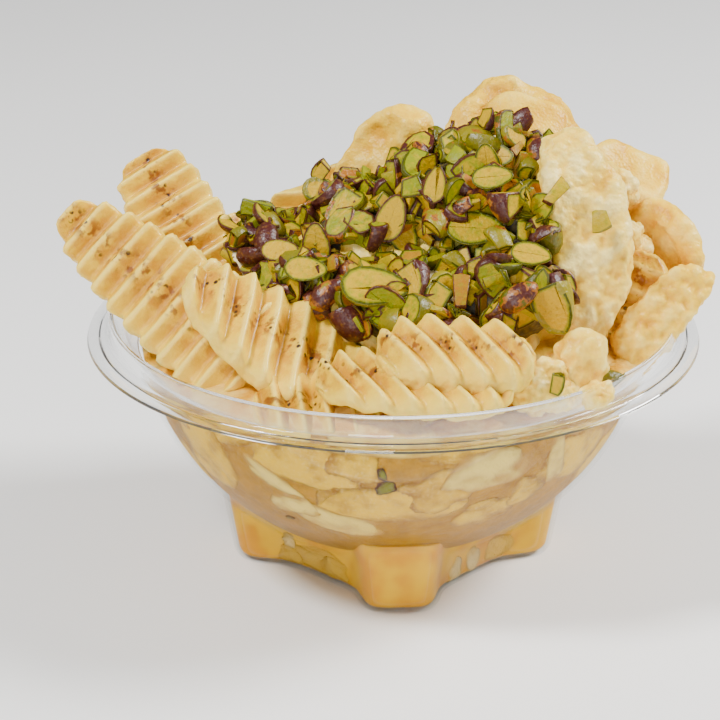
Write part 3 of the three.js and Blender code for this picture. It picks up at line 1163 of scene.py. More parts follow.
    def loose(self, name: str, rng: np.random.Generator, count: int) -> Piece:
        """Loose pieces on top of the filling, round the sides and the back, where it is bare.

        Args:
            name: The name of the piece.
            rng: Places and shapes them.
            count: How many there are.

        Returns:
            All of them as one piece.
        """
        parts = []
        for index in range(count):
            angle = math.radians(float(rng.uniform(-28, 200)))
            reach = float(rng.uniform(38, 57))
            radii = rng.uniform((6, 5, 3.4), (9, 7, 4.6))
            part = ball(f"{name}_{index}", 28, 18)
            points = points_of(part)
            points = blunted(points, 0.8) * (1 + 0.2 * soft_noise(points, 0.9, index))[:, None]
            turn = Matrix.Rotation(float(rng.uniform(0, 3)), 3, "Z")
            turn = turn @ Matrix.Rotation(float(rng.normal(0, 0.3)), 3, "X")
            spot = [reach * math.cos(angle), reach * math.sin(angle), rng.uniform(57, 60)]
            points = (points * radii) @ np.array(turn).T + spot
            in_basin = np.clip(points[:, 2], self.sauce_level, self.level)
            limit = self.bowl.basin_reach(in_basin, self.bowl.wall + 0.3)
            points[:, :2] *= np.minimum(1, limit / np.maximum(polar(points)[1], 1e-6))[:, None]
            move_points(part, points)
            parts.append(part)
        return softened(joined(name, parts), 0.85, 2, ((6, 0.5), (2.4, 0.3)), 5)

    def sauce(self) -> Piece:
        """The sauce that fills the feet and the bottom, as high as the basin covers it.

        Returns:
            The sauce, without its finish.
        """
        block = ball("sauce_in_feet", 192, 64)
        points = points_of(block)
        theta, share = polar(points)
        inset = self.bowl.wall - self.into_wall + 0.02
        z = inset + (self.sauce_level - inset) * (points[:, 2] + 1) / 2
        r = self.bowl.foot_radius(theta, z, inset) * np.clip(share / 0.35, 0, 1)
        move_points(block, upright(theta, r, z))
        return smooth(block)

    def dressed(self) -> None:
        """Builds and dresses the filling, the sauce and the pressed lumps."""
        # The mash is darker than the lumps: partly its own amber, and partly painted shade in the gaps
        # between them.
        mash = PressedFood("filling_mash", "c68c08", "805404", 0.4).material()
        present(self.core(), Slot.FILLING, mash, "banana_cream_filling")
        present(self.sauce(), Slot.SAUCE, Sauce().material(), "banana_sauce")
        rng = np.random.default_rng(5)
        # The second colour of each finish is its deeper one, painted shade round its patches.
        kinds = {
            "pressed_banana": (self.banana + tuple(self.scattered(rng, (27, 38, 50), 8)),
                               PressedFood("pressed_banana", "ecb81e", "925e0a")),
            "pressed_cream": (self.cream + tuple(self.scattered(rng, (32, 45), 6)),
                              PressedFood("pressed_cream", "f4d266", "b8842c", 0.3)),
            "sunken_banana": (self.base_banana, PressedFood("sunken_banana", "e6b83c", "d09a14", 0.4)),
            "sunken_cream": (self.base_cream, PressedFood("sunken_cream", "f4dc9c", "dcb04c", 0.2)),
            "pressed_pistachio": (self.nuts, PressedFood("pressed_pistachio", "7c7a10", "4c1c14", 0.2)),
        }
        for kind, (name, (lumps, finish)) in enumerate(kinds.items()):
            parts = [self.pressed_lump(lump, i, kind) for i, lump in enumerate(lumps)]
            present(smooth(joined(name, parts)), Slot.FILLING, finish.material())
        # The middle and deep tones of the loose pieces are painted shade in their hollows.
        for name, count, tones in (("loose_banana", 26, ("f6d67c", "ecbc38", "cc8c08")),
                                   ("loose_cream", 12, ("ffe6a4", "fbd264", "e8aa30"))):
            present(self.loose(name, rng, count), Slot.FILLING, ClottedCream(name, *tones).material())


# ---- Banana slices ----


@dataclass(frozen=True)
class Slice:
    """A crinkle-cut slice of banana, in millimetres and degrees.

    Its face is at local Z = 0, and its length is along X.
    """

    node: str
    at: Point
    toward: Point
    facing: Point
    length: float
    width: float
    thickness: float
    pitch: float
    rib_turn: float
    taper: float
    end: float = 0.6
    rib: float = 1.5
    scallop: float = 0.045
    rounding: float = 1.5
    cuts: tuple[int, int, int] = (150, 36, 10)

    def outline(self) -> np.ndarray:
        """The slice seen on its face, turned so that X crosses the ribs.

        Returns:
            The points of the outline, counterclockwise.
        """
        angle = np.linspace(0, 2 * math.pi, 720, endpoint=False)
        along = blunted(np.cos(angle), self.end)
        across = blunted(np.sin(angle), 0.8)
        narrowing = 1 - self.taper * ((1 + along) / 2) ** 2
        x = self.length / 2 * along
        y = self.width / 2 * across * narrowing
        return np.stack(turned(x, y, -self.rib_turn), 1)

    def chords(self, u: np.ndarray) -> tuple[np.ndarray, np.ndarray]:
        """Where the lines across the outline at each u enter and leave it.

        Args:
            u: Places along the axis that crosses the ribs.

        Returns:
            The lower and the upper end of each line.
        """
        outline = self.outline()
        first = int(np.argmin(outline[:, 0]))
        ring = np.roll(outline, -first, axis=0)
        last = int(np.argmax(ring[:, 0]))
        one = ring[:last + 1]
        other = np.vstack([ring[last:], ring[:1]])[::-1]
        a = np.interp(u, one[:, 0], one[:, 1])
        b = np.interp(u, other[:, 0], other[:, 1])
        return np.minimum(a, b), np.maximum(a, b)

    def ridge(self, u: np.ndarray) -> np.ndarray:
        """Height of the ribs, from -1 in a valley to 1 on a crest."""
        sharp = 0.95
        return np.arcsin(sharp * np.sin(2 * math.pi * u / self.pitch + math.pi / 2)) / math.asin(sharp)

    def build(self) -> Piece:
        """Forms the slice from a block cut into rows: its outline, its rounded edges, and its ribs.

        Returns:
            The slice in its place.
        """
        piece = cut_block(self.node.replace("banana", "crinkle"), self.cuts)
        a, b, c = points_of(piece).T
        outline = self.outline()
        start, reach = outline[:, 0].min() + 0.3, outline[:, 0].max() - 0.3
        u = (start + reach) / 2 + (reach - start) / 2 * (0.7 * a + 0.3 * np.sin(a * math.pi / 2))
        low, high = self.chords(u)
        half = (high - low) / 2
        thick = self.thickness / 2
        from_end = np.minimum(u - start, reach - u)
        near_end = np.clip(1 - from_end / self.rounding, 0, 1)
        tuck = self.rounding * (1 - np.sqrt(1 - near_end * near_end))
        v, w = self.rounded(b, c, half, np.maximum(thick - tuck, 0.4), np.minimum(self.rounding, half * 0.6))
        middle = (low + high) / 2
        seed = len(self.node)
        flat = np.stack([u, middle + v, 0 * u], 1)
        crest = self.ridge(u + 0.7 * soft_noise(flat, 14, seed))
        top_share = 0.75 + 0.25 * c
        w = w - thick + self.rib * crest * top_share + 0.5 * soft_noise(flat, 18, 2 + seed)
        uneven = 1 + 0.03 * soft_noise(np.stack([u, 0 * u, 0 * u], 1), 6, 4 + seed)
        v = v * (1 + self.scallop * crest * np.clip(from_end / 4, 0, 1)) * uneven
        x, y = turned(u, middle + v, self.rib_turn)
        mark(piece, "crest", (crest + 1) / 2)
        mark(piece, "across", 2 * y / self.width)
        from_edge = np.minimum(half - np.abs(v), from_end)
        side = np.clip(1.1 - from_edge / (0.55 * self.rounding), 0, 1)
        mark(piece, "side", side)
        place = to_place(self.at, self.toward, self.facing)
        move_points(piece, moved(np.stack([x, y, w], 1), place))
        dimples = soft_noise(points_of(piece), 1.5, 3) * side
        roughen_by(piece, 0.12 * soft_noise(points_of(piece), 1.0) + 0.4 * dimples)
        return smooth(piece)

    @staticmethod
    def rounded(b: np.ndarray, c: np.ndarray, half: np.ndarray, thick: np.ndarray,
                rounding: np.ndarray) -> tuple[np.ndarray, np.ndarray]:
        """A square section drawn to a width and thickness, with its corners rounded.

        Args:
            b: Place across the section, -1 to 1.
            c: Place through the section, -1 to 1.
            half: Half width at each point.
            thick: Half thickness at each point.
            rounding: Radius of the corners at each point.

        Returns:
            The place across and the place through the section, in millimetres.
        """
        rounding = np.minimum(rounding, thick * 0.98)
        v, w = b * half, c * thick
        dv = np.maximum(np.abs(v) - (half - rounding), 0)
        dw = np.maximum(np.abs(w) - (thick - rounding), 0)
        both = (dv > 0) & (dw > 0)
        scale = np.where(both, np.maximum(dv, dw) / np.maximum(np.hypot(dv, dw), 1e-9), 1)
        v = np.where(both, np.sign(v) * (half - rounding + dv * scale), v)
        w = np.where(both, np.sign(w) * (thick - rounding + dw * scale), w)
        return v, w


@dataclass
class Slices:
    """All the slices of banana."""

    slices: tuple[Slice, ...] = (
        Slice("banana_slice_front_upper", (14, -49.5, 75), (0.985, -0.1, -0.03), (-0.25, -0.25, 0.93),
              37, 21.5, 9, 6.1, 36, 0.1, rounding=3.6, cuts=(140, 44, 16)),
        Slice("banana_slice_front_lower", (4.5, -52, 68.6), (-1, 0.05, 0.02), (0, -0.2, 0.98),
              46, 25, 5.2, 5.7, 31, 0.3, rounding=2.4, cuts=(150, 40, 12)),
        Slice("banana_slice_centre", (-28.5, -34, 72.3), (-1, 0.3, 0.66), (0.32, -0.5, 0.8),
              48, 28, 7, 7.1, 22, 0.45, rounding=2.2, rib=1.75),
        Slice("banana_slice_left", *seen((-56.5, -15, 75.7), 139.5, away=30),
              69, 28.6, 6, 6.6, -3, 0.55, end=0.25, rib=1.75, scallop=0.06, cuts=(210, 36, 10)),
        Slice("banana_slice_left_rear", *seen((-52.7, 8, 83.8), 117, away=30),
              46, 24, 6, 5.8, 4, 0.3, end=0.25, rib=1.35),
        Slice("banana_slice_under", (-10, -49, 60), (1, 0, -0.05), (0.05, -0.35, 0.93),
              46, 22, 5, 5.9, 8, 0.1),
        Slice("banana_slice_back", (-15, 20, 82), (0.86, 0.2, 0.42), (-0.15, -0.8, 0.58),
              40, 24, 6, 5.9, 65, 0.1),
        Slice("banana_slice_right", *seen((54.8, -7, 66.8), 62)[:2], (-0.3, -0.87, 0.36),
              32, 20, 5, 5.9, 10, 0.2, rib=0.5),
        Slice("banana_slice_rear", (-31, 40, 66), (-0.6, 0.72, 0.12), (-0.1, 0.25, 0.96),
              40, 24, 6, 5.9, 12, 0.3),
    )

    def dressed(self) -> None:
        """Builds and dresses each slice in place of its node."""
        flesh = BananaFlesh().material()
        for part in self.slices:
            present(part.build(), Slot.BANANA, flesh, part.node)


# ---- Cream ----


@dataclass(frozen=True)
class Petal:
    """A folded sheet of cream. Sizes in millimetres.

    It faces along its local Z. A bend curls its two ends that way, and a cup curls its two sides that way.
    """

    node: str
    at: Point
    toward: Point
    facing: Point
    length: float
    width: float
    thickness: float
    bend: float = 0.0
    cup: float = 0.0
    rim: float = 0.0
    squareness: float = 3.0
    taper: float = 0.0
    smoothing: int = 3
    layers: Layers = ((13, 0.8), (5, 0.5), (2.0, 0.3))
    voxel: float = 0.7

    def flat(self, grid: np.ndarray) -> np.ndarray:
        """The sheet before it is curled, from the points of a block.

        Args:
            grid: The points of the block, from -1 to 1 each way.

        Returns:
            The points of the sheet, in millimetres.
        """
        u, v, w = grid.T
        power = self.squareness
        rho = np.maximum(np.abs(u), np.abs(v))
        reach = rho / np.maximum((np.abs(u) ** power + np.abs(v) ** power) ** (1 / power), 1e-6)
        angle = np.arctan2(v, u)
        wobble = 1 + 0.05 * np.sin(3 * angle + len(self.node)) + 0.03 * np.sin(7 * angle)
        x = u * reach * self.length / 2 * wobble
        y = v * reach * self.width / 2 * wobble * (1 - self.taper * u * reach)
        roll = 1 + self.rim * np.exp(-((rho - 0.84) / 0.13) ** 2)
        t = w * self.thickness / 2 * roll * np.sqrt(np.clip(1 - rho ** 10, 0.0, 1))
        return np.stack([x, y, t], 1)

    @staticmethod
    def curled(points: np.ndarray, axis: int, radius: float) -> np.ndarray:
        """Points curled towards +Z.

        Args:
            points: The points.
            axis: The axis that is curled, 0 or 1.
            radius: The radius of the curl, negative for the other way, or 0 for none.

        Returns:
            The curled points.
        """
        if not radius:
            return points
        curled = points.copy()
        angle = points[:, axis] / radius
        arm = radius - points[:, 2]
        curled[:, axis] = arm * np.sin(angle)
        curled[:, 2] = radius - arm * np.cos(angle)
        return curled

    def build(self) -> Piece:
        """Models the sheet and puts it in its place.

        Returns:
            The sheet in its place.
        """
        piece = cut_block("soft_" + self.node, (47, 35, 5))
        points = self.curled(self.curled(self.flat(points_of(piece)), 1, self.cup), 0, self.bend)
        move_points(piece, moved(points, to_place(self.at, self.toward, self.facing)))
        faces_outward(piece)
        return softened(piece, self.voxel, self.smoothing, self.layers, len(self.node))


def softened(piece: Piece, voxel: float, smoothing: int, layers: Layers,
             seed: float) -> Piece:
    """A solid made soft and uneven.

    Args:
        piece: The solid.
        voxel: The fineness of its new surface, in millimetres.
        smoothing: How many times its edges are rounded.
        layers: Size and depth in millimetres of each layer of unevenness.
        seed: Sets the unevenness apart from others.

    Returns:
        The same piece.
    """
    applied(piece, "REMESH", mode="VOXEL", voxel_size=voxel * MM)
    applied(piece, "SMOOTH", factor=0.6, iterations=smoothing)
    applied(piece, "SUBSURF", levels=1, render_levels=1)
    roughen(piece, layers, seed)
    return smooth(piece)


@dataclass
class CreamPieces:
    """The folded sheets, the slab, the dollop and the mound of cream."""

    sheets: tuple[Petal, ...] = (
        Petal("cream_fold_back", *seen((31, 36, 95.3), -15, tip=15),
              37, 30, 6.5, bend=22, cup=17, rim=0.6, squareness=2.6,
              layers=((8, 1.5), (4, 0.8), (1.8, 0.4))),
        Petal("cream_tongue_back", *seen((32.5, 14, 107.6), -20, tip=30),
              21, 15, 4, bend=-40, cup=60, squareness=4, layers=((9, 0.4), (4, 0.15))),
        Petal("cream_leaf_right", *seen((58.5, 26, 89.8), -27, tip=30),
              22, 17, 4, bend=36, cup=-40, squareness=4.5, taper=-0.1,
              layers=((9, 0.6), (4, 0.3), (1.8, 0.15))),
        Petal("cream_curl_right", *seen((67.3, 12, 75.3), -66, tip=-25),
              27, 24, 5, bend=22, cup=11, rim=0.4, squareness=2.8, layers=((9, 0.9), (4, 0.6), (1.8, 0.3))),
        Petal("cream_roll_right", (64.8, -12, 67.4), (0.65, 0.233, 0.72), (-0.087, -0.927, 0.364),
              31, 11, 9.5, bend=-60, cup=-14, rim=0.15, squareness=4, taper=0.15,
              layers=((9, 0.7), (3, 0.7), (1.5, 0.5))),
        Petal("cream_slab_rear", (-2.5, 23, 91.5), (0.40, 0.28, 0.87), (-0.3, -0.86, 0.41),
              36, 21, 8, bend=70, cup=-30, rim=0.3, squareness=3.2, taper=0.15,
              layers=((8, 1.1), (4, 0.6), (1.8, 0.3))),
    )
    slab: Petal = Petal("cream_slab_front", (45.9, -8, 86.3), (0.12, -0.36, -0.92), (0.1, -0.87, 0.49),
                        53, 22, 11, bend=-80, cup=60, rim=0.1, squareness=2.3, taper=0.1, smoothing=3,
                        layers=((9, 1.1), (3.4, 0.7), (1.5, 0.45)))
    crumbs: tuple[tuple[Point, Point], ...] = (
        ((36, -49, 65), (6, 5, 6)), ((31, -50, 63), (5, 5, 5)), ((55.5, 14, 90.5), (5, 4.5, 4.5)),
        ((52, 12, 94.5), (4.5, 4, 4)), ((59, 5, 78), (4.5, 4, 5)), ((57, 2, 83), (4, 4, 4)),
        ((47, -49, 62), (4, 4, 3.5)),
    )
    voxel: float = 0.8
    mound_voxel: float = 1.15

    def crumbled(self) -> Piece:
        """Small curds that fill the gaps between the larger pieces.

        Returns:
            All of them as one piece.
        """
        parts = []
        for index, (at, radii) in enumerate(self.crumbs):
            part = ball(f"crumb_{index}", 24, 16)
            points = points_of(part)
            swell = 1 + 0.3 * soft_noise(points, 0.9, index)
            move_points(part, points * swell[:, None] * np.array(radii) + np.array(at))
            parts.append(part)
        return softened(joined("cream_crumbs", parts), 0.6, 2, ((6, 0.8), (2.6, 0.8), (1.3, 0.5)), 3)

    def from_node(self, node: str, smoothing: int, layers: Layers,
                  voxel: float) -> Piece:
        """A piece worked up from the solid of its own node.

        Args:
            node: The node.
            smoothing: How many times its edges are rounded.
            layers: Size and depth in millimetres of each layer of unevenness.
            voxel: The fineness of its surface, in millimetres.
        """
        return softened(copy_of_node(node, "soft_" + node), voxel, smoothing, layers, len(node))

    def dressed(self) -> None:
        """Builds and dresses every cream piece in place of its node."""
        clotted = ClottedCream().material()
        # The middle and deep tones of the white cream are painted shade in its hollows.
        white = ClottedCream("white_cream", "ffe386", "f8d04c", "e4ae1e").material()
        for sheet in self.sheets:
            present(sheet.build(), Slot.CREAM, clotted, sheet.node)
        folds = ((13, 1.1), (5, 0.6), (2.2, 0.3))
        curds = ((10, 1.1), (4, 1.0), (2.0, 0.6))
        rear = self.from_node("cream_fold_rear", 8, folds, self.voxel)
        present(rear, Slot.CREAM, clotted, "cream_fold_rear")
        present(self.slab.build(), Slot.WHITE_CREAM, white, self.slab.node)
        soft = (("cream_dollop", 8, self.voxel), ("cream_mound", 5, self.mound_voxel))
        for node, smoothing, voxel in soft:
            present(self.from_node(node, smoothing, curds, voxel), Slot.WHITE_CREAM, white, node)
        present(self.crumbled(), Slot.WHITE_CREAM, white)


# ---- Pistachios ----


class Cut(Enum):
    """How a pistachio kernel is cut."""

    HALF = "halves"
    CHUNK = "chunks"
    SLIVER = "slivers"


@dataclass(frozen=True)
class Kernel:
    """A pistachio kernel of 1 mm half length, before it is cut."""

    skin: Finish
    flesh: Finish
    breadth: float = 0.62
    height: float = 0.52
    point: float = 0.22
    rings: tuple[float, float] = (0.045, 0.12)

    def cut_by(self, name: str, planes: Sequence[tuple[Point, Point]], bevel: float,
               rimmed: bool = False) -> Piece:
        """Cuts a kernel and keeps what is behind every plane.

        Args:
            name: The name of the prototype.
            planes: A point and a normal for each cut, in units of the half length.
            bevel: Width of the softened edges.
            rimmed: Whether the cut face has a rim of another colour.

        Returns:
            The prototype: material 0 is skin, and material 1 is on the cut faces.
        """
        piece = ball(name, 12, 9)
        points = points_of(piece)[:, [2, 0, 1]]
        points = points * (1 + 0.06 * soft_noise(points, 0.6, sum(map(ord, name))))[:, None]
        points[:, 1] *= self.breadth * (1 - self.point * points[:, 0])
        points[:, 2] *= self.height * (1 - self.point * points[:, 0])
        move_points(piece, points)
        with editing(piece, "FACE"):
            for spot, normal in planes:
                bpy.ops.mesh.select_all(action="SELECT")
                bpy.ops.mesh.bisect(plane_co=Vector(spot) * MM, plane_no=normal, use_fill=True,
                                    clear_outer=True, threshold=TINY)
        faces_outward(piece)
        sharp = math.radians(35)
        applied(piece, "BEVEL", width=bevel * MM, segments=1, limit_method="ANGLE", angle_limit=sharp)
        cuts = [(Vector(spot), Vector(normal).normalized()) for spot, normal in planes]

        def on_cut(face: bpy.types.MeshPolygon | bmesh.types.BMFace, middle: Vector) -> bool:
            """Whether a face with this middle lies on one of the cuts."""
            return any(face.normal.dot(normal) > 0.97 and abs((middle / MM - spot).dot(normal)) < 0.02
                       for spot, normal in cuts)

        rings = []
        for width in self.rings if rimmed else ():
            with editing(piece, "FACE"):
                pick(piece, "faces", lambda face: on_cut(face, face.calc_center_median()) and (
                    not rings or all(v.index in rings[-1] for v in face.verts)))
                bpy.ops.mesh.inset(thickness=width * MM, depth=0.0, use_even_offset=False)
            rings.append({v for face in piece.data.polygons if face.select for v in face.vertices})
        for finish in (self.skin, self.flesh):
            piece.data.materials.append(finish)
        inner = np.zeros(len(piece.data.vertices))
        for face in piece.data.polygons:
            face.material_index = 1 if on_cut(face, face.center) else 0
            if face.material_index and not rimmed:
                inner[list(face.vertices)] = 0.75
        for share, ring in zip((0.6, 1.0), rings):
            inner[list(ring)] = share
        mark(piece, "inner", inner)
        return piece


@dataclass(frozen=True)
class Nut:
    """One nut with a place of its own. It faces the front, or its skin does where it is turned over."""

    cut: Cut
    at: Point
    toward: Point
    half_length: float
    green: float
    skin: float
    dry: float = 0.3
    turned_over: bool = False
    facing: Point = (0.0, -0.75, 0.66)

    def placement(self) -> tuple[Cut, Matrix, Point]:
        """Its cut, its transform and its tint.

        Returns:
            What the heap places a nut by.
        """
        facing = -Vector(self.facing) if self.turned_over else Vector(self.facing)
        place = to_place(self.at, self.toward, facing)
        return self.cut, sized(place, self.half_length), (self.green, self.skin, self.dry)


def sized(place: Matrix, half_length: float) -> Matrix:
    """The transform that takes a kernel of 1 mm half length to its place.

    Args:
        place: Its place, in millimetres.
        half_length: Its half length there, in millimetres.
    """
    return Matrix.Scale(MM, 4) @ place @ Matrix.Scale(half_length, 4) @ Matrix.Scale(1 / MM, 4)


def nearest(points: np.ndarray, spot: np.ndarray) -> float:
    """How far the nearest of some points is from a spot."""
    return np.min(np.linalg.norm(points - spot, axis=1))


@dataclass
class PistachioHeap:
    """Chopped pistachios over a core of cream. Sizes in millimetres.

    The nuts of the upper layers keep clear of the featured ones. All layers keep clear of the bare spots,
    each of which has a place from above and a radius.
    """

    core_inset: float = 2.6
    seed: int = 11
    bed_reach: float = 6.5
    clearance: float = 5.0
    top_depth: float = 1.2
    turned_share: float = 0.26
    bare_spots: tuple[Point, ...] = ((10, -25, 6.0), (-13, -27, 2.5), (24, 4, 3.5), (-38, -8, 4.0))
    featured: tuple[Nut, ...] = (
        Nut(Cut.HALF, (19.4, -15.5, 91.0), aslant(-3), 7.0, 0.55, 0.2),
        Nut(Cut.HALF, (9.8, -11.9, 100.7), aslant(80), 4.6, 0.3, 0.9),
        Nut(Cut.CHUNK, (4.1, -9.9, 100.3), aslant(0), 6.0, 0.9, 0.4),
        Nut(Cut.HALF, (23.5, -9.5, 101.9), aslant(5), 5.0, 0.5, 0.3),
        Nut(Cut.CHUNK, (27.6, -15.9, 96.8), aslant(-60), 7.5, 0.5, 0.6),
        Nut(Cut.SLIVER, (38.0, -13.0, 99.6), aslant(-40), 6.5, 0.1, 0.8),
        Nut(Cut.HALF, (32.3, -25.2, 88.1), aslant(-10), 4.9, 0.3, 0.3),
        Nut(Cut.CHUNK, (37.1, -32.3, 78.4), aslant(-75), 8.5, 0.0, 0.1),
        Nut(Cut.HALF, (29.2, -34.6, 80.9), aslant(35), 5.2, 0.8, 0.52, turned_over=True),
        Nut(Cut.SLIVER, (16.3, -32.8, 81.4), aslant(-5), 7.0, 0.2, 0.6, dry=1.0),
        Nut(Cut.HALF, (-4.6, -31.0, 82.0), aslant(-3), 8.2, 0.45, 0.2),
        Nut(Cut.HALF, (-0.7, -12.5, 92.6), aslant(70), 6.0, 0.0, 0.7),
        Nut(Cut.HALF, (-16.2, -27.3, 78.6), aslant(45), 4.8, 0.2, 0.6, turned_over=True),
        Nut(Cut.HALF, (-21.0, -22.6, 83.4), aslant(-5), 5.2, 0.4, 0.3),
        Nut(Cut.HALF, (-27.4, -13.5, 84.8), aslant(0), 4.6, 0.1, 0.95),
        Nut(Cut.SLIVER, (-33.4, 6.5, 89.0), (0.17, 0.1, 0.97), 6.5, 1.0, 0.2),
        Nut(Cut.CHUNK, (-38.6, 5.0, 84.6), aslant(-30), 4.8, 0.3, 0.75, facing=(0.3, -0.5, 0.8)),
        Nut(Cut.SLIVER, (49.2, -16.5, 93.2), (0.9, 0, 0.2), 4.5, 0.3, 0.2),
        Nut(Cut.HALF, (49.6, -43.0, 63.4), (0.9, 0.1, 0.2), 3.8, 0.6, 0.2, turned_over=True),
        Nut(Cut.CHUNK, (36.5, -54.0, 67.5), (0.2, -0.2, 0.9), 4.5, 0.1, 0.2),
        Nut(Cut.CHUNK, (46.4, 3.5, 100.5), (0.7, -0.2, -0.6), 4.0, 0.2, 0.3),
        Nut(Cut.CHUNK, (31.2, 7.0, 110.6), (0.6, 0.1, 0.6), 4.5, 0.3, 0.95, turned_over=True),
        Nut(Cut.CHUNK, (-16.6, 6.5, 98.4), (0.6, 0.1, 0.7), 4.5, 0.3, 0.95, turned_over=True),
    )

    # Each layer, from the bottom up: its cut, its depth, the range of half lengths, and its spacing.
    layers: tuple[tuple[Cut, float, tuple[float, float], float], ...] = (
        (Cut.CHUNK, 2.6, (5.5, 7.5), 5.2), (Cut.SLIVER, 1.4, (4.0, 6.0), 8.0),
        (Cut.CHUNK, 1.0, (5.0, 7.0), 6.4), (Cut.HALF, 1.0, (4.4, 6.0), 12.0),
        (Cut.CHUNK, 0.0, (4.8, 7.0), 8.6), (Cut.SLIVER, 0.0, (3.4, 5.0), 11.0),
        (Cut.HALF, -0.4, (5.0, 6.6), 20.0),
    )

    @staticmethod
    def prototypes(rng: np.random.Generator) -> dict[Cut, list[Piece]]:
        """A few kernels of each cut, all different.

        Args:
            rng: Turns and places the cuts.

        Returns:
            The kernels, by their cut.
        """
        kernel = Kernel(NutSkin().material(), NutFlesh().material())

        def plane(direction: Vector, low: float, high: float) -> tuple[Point, Point]:
            """A cut across a direction, somewhere between two distances from the middle."""
            return tuple(direction * rng.uniform(low, high)), tuple(direction)

        halves = [kernel.cut_by(f"half_{i}", [((0, 0, 0.02 * i), (0.03 * (i - 1), 0.04 * i, 1))], 0.04, True)
                  for i in range(3)]
        axes = [Vector(axis) for axis in ((1, 0, 0), (-1, 0, 0), (0, 0, 1), (0, 0, -1), (0, 1, 0.2))]
        chunks = []
        for i in range(12):
            front, back, top, base, edge = (axis + Vector(rng.normal(0, 0.25, 3)) for axis in axes)
            planes = [plane(top, 0.0, 0.2), plane(front, 0.2, 0.65)]
            more = ((3, back, 0.2, 0.6), (2, base, 0.15, 0.35), (4, edge, 0.0, 0.3))
            for every, direction, low, high in more:
                if i % every:
                    planes.append(plane(direction, low, high))
            chunks.append(kernel.cut_by(f"chunk_{i}", planes, 0.035, True))
        slivers = []
        for i in range(5):
            tilt = rng.uniform(-0.2, 0.2, 4)
            planes = [((0, 0, rng.uniform(0.1, 0.2)), (tilt[0], 0, 1)), ((0, 0, -0.16), (0, tilt[1], -1)),
                      ((rng.uniform(0.1, 0.5), 0, 0), (1, tilt[2], 0)),
                      ((-rng.uniform(0.1, 0.5), 0, 0), (-1, tilt[3], 0))]
            slivers.append(kernel.cut_by(f"sliver_{i}", planes, 0.03))
        return {Cut.HALF: halves, Cut.CHUNK: chunks, Cut.SLIVER: slivers}

    def heap(self, name: str) -> Piece:
        """The outside of the topping and the cream mound under it, run together and smoothed.

        Args:
            name: The name of the piece.

        Returns:
            The heap as one solid.
        """
        heap = joined(name, [copy_of_node(node, node) for node in ("pistachio_topping", "cream_mound")])
        applied(heap, "REMESH", mode="VOXEL", voxel_size=1.2 * MM)
        applied(heap, "SMOOTH", factor=0.6, iterations=24)
        return heap

    def core(self) -> Piece:
        """The bed of cream that the nuts lie on.

        Returns:
            The bed, without its finish.
        """
        core = self.heap("cream_under_nuts")
        applied(core, "DISPLACE", strength=-self.core_inset * MM, mid_level=0.0)
        roughen(core, ((9, 0.9), (4, 0.5), (2, 0.25)), 4)
        return smooth(core)

    def bed(self) -> tuple[np.ndarray, np.ndarray]:
        """Points all over the nut-covered side of the heap, and the direction that each faces.

        Returns:
            The points in millimetres, and their normals.
        """
        heap = self.heap("bed")
        points = points_of(heap)
        normals = np.array([v.normal for v in heap.data.vertices])
        bpy.data.objects.remove(heap)
        kept = (self.from_topping(points) < self.bed_reach) & (normals[:, 2] > -0.1)
        return points[kept], normals[kept]

    @staticmethod
    def from_topping(points: np.ndarray) -> np.ndarray:
        """How far each point is from the nearest corner of the topping's node.

        Args:
            points: Points in millimetres.

        Returns:
            One distance for each point, in millimetres.
        """
        topping = points_of(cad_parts["pistachio_topping"])
        tree = KDTree(len(topping))
        for index, point in enumerate(topping):
            tree.insert(point, index)
        tree.balance()
        return np.array([tree.find(point)[2] for point in points])

    def placements(self, rng: np.random.Generator) -> list[tuple[Cut, Matrix, Point]]:
        """The cut, the transform and the tint of each nut, layer by layer.

        Args:
            rng: Chooses the spots, the sizes, the turns and the tints.

        Returns:
            One row for each nut.
        """
        points, normals = self.bed()
        bare = np.zeros(len(points), bool)
        for x, y, radius in self.bare_spots:
            bare |= np.hypot(points[:, 0] - x, points[:, 1] - y) < radius
        points, normals = points[~bare], normals[~bare]
        kept_clear = np.array([nut.at for nut in self.featured])
        placed = [nut.placement() for nut in self.featured]
        for cut, depth, (small, large), spacing in self.layers:
            taken = np.empty((0, 3))
            for index in rng.permutation(len(points)):
                spot = points[index]
                if len(taken) and nearest(taken, spot) < spacing * rng.uniform(0.85, 1.25):
                    continue
                if depth < self.top_depth and nearest(kept_clear, spot) < self.clearance:
                    continue
                taken = np.vstack([taken, spot])
                half_length = rng.uniform(small, large)
                place = self.lying(spot, normals[index], depth, cut, rng)
                placed.append((cut, sized(place, half_length), self.tint(rng)))
        return placed

    def lying(self, spot: np.ndarray, normal: np.ndarray, depth: float, cut: Cut,
              rng: np.random.Generator) -> Matrix:
        """The placement of one nut that lies on the heap, in millimetres.

        Args:
            spot: The point of the heap that it lies on.
            normal: The direction that the heap faces there.
            depth: How far it has sunk in.
            cut: How it is cut. A half always faces outwards.
            rng: Turns it.

        Returns:
            The matrix that carries the nut to its place.
        """
        lean = 0.25 if cut is Cut.HALF else 0.5
        facing = Vector(normal) + Vector(rng.normal(size=3)) * lean + Vector((0, -0.25, 0))
        if cut is not Cut.HALF and rng.uniform() < self.turned_share:
            facing = -facing
        toward = Vector(rng.normal(size=3))
        return to_place(tuple(Vector(spot) - Vector(normal) * depth), toward, facing)

    @staticmethod
    def tint(rng: np.random.Generator) -> Point:
        """How green the flesh is, which skin it has, and how dry it is."""
        return tuple(float(rng.uniform(0, 1)) for _ in range(3))

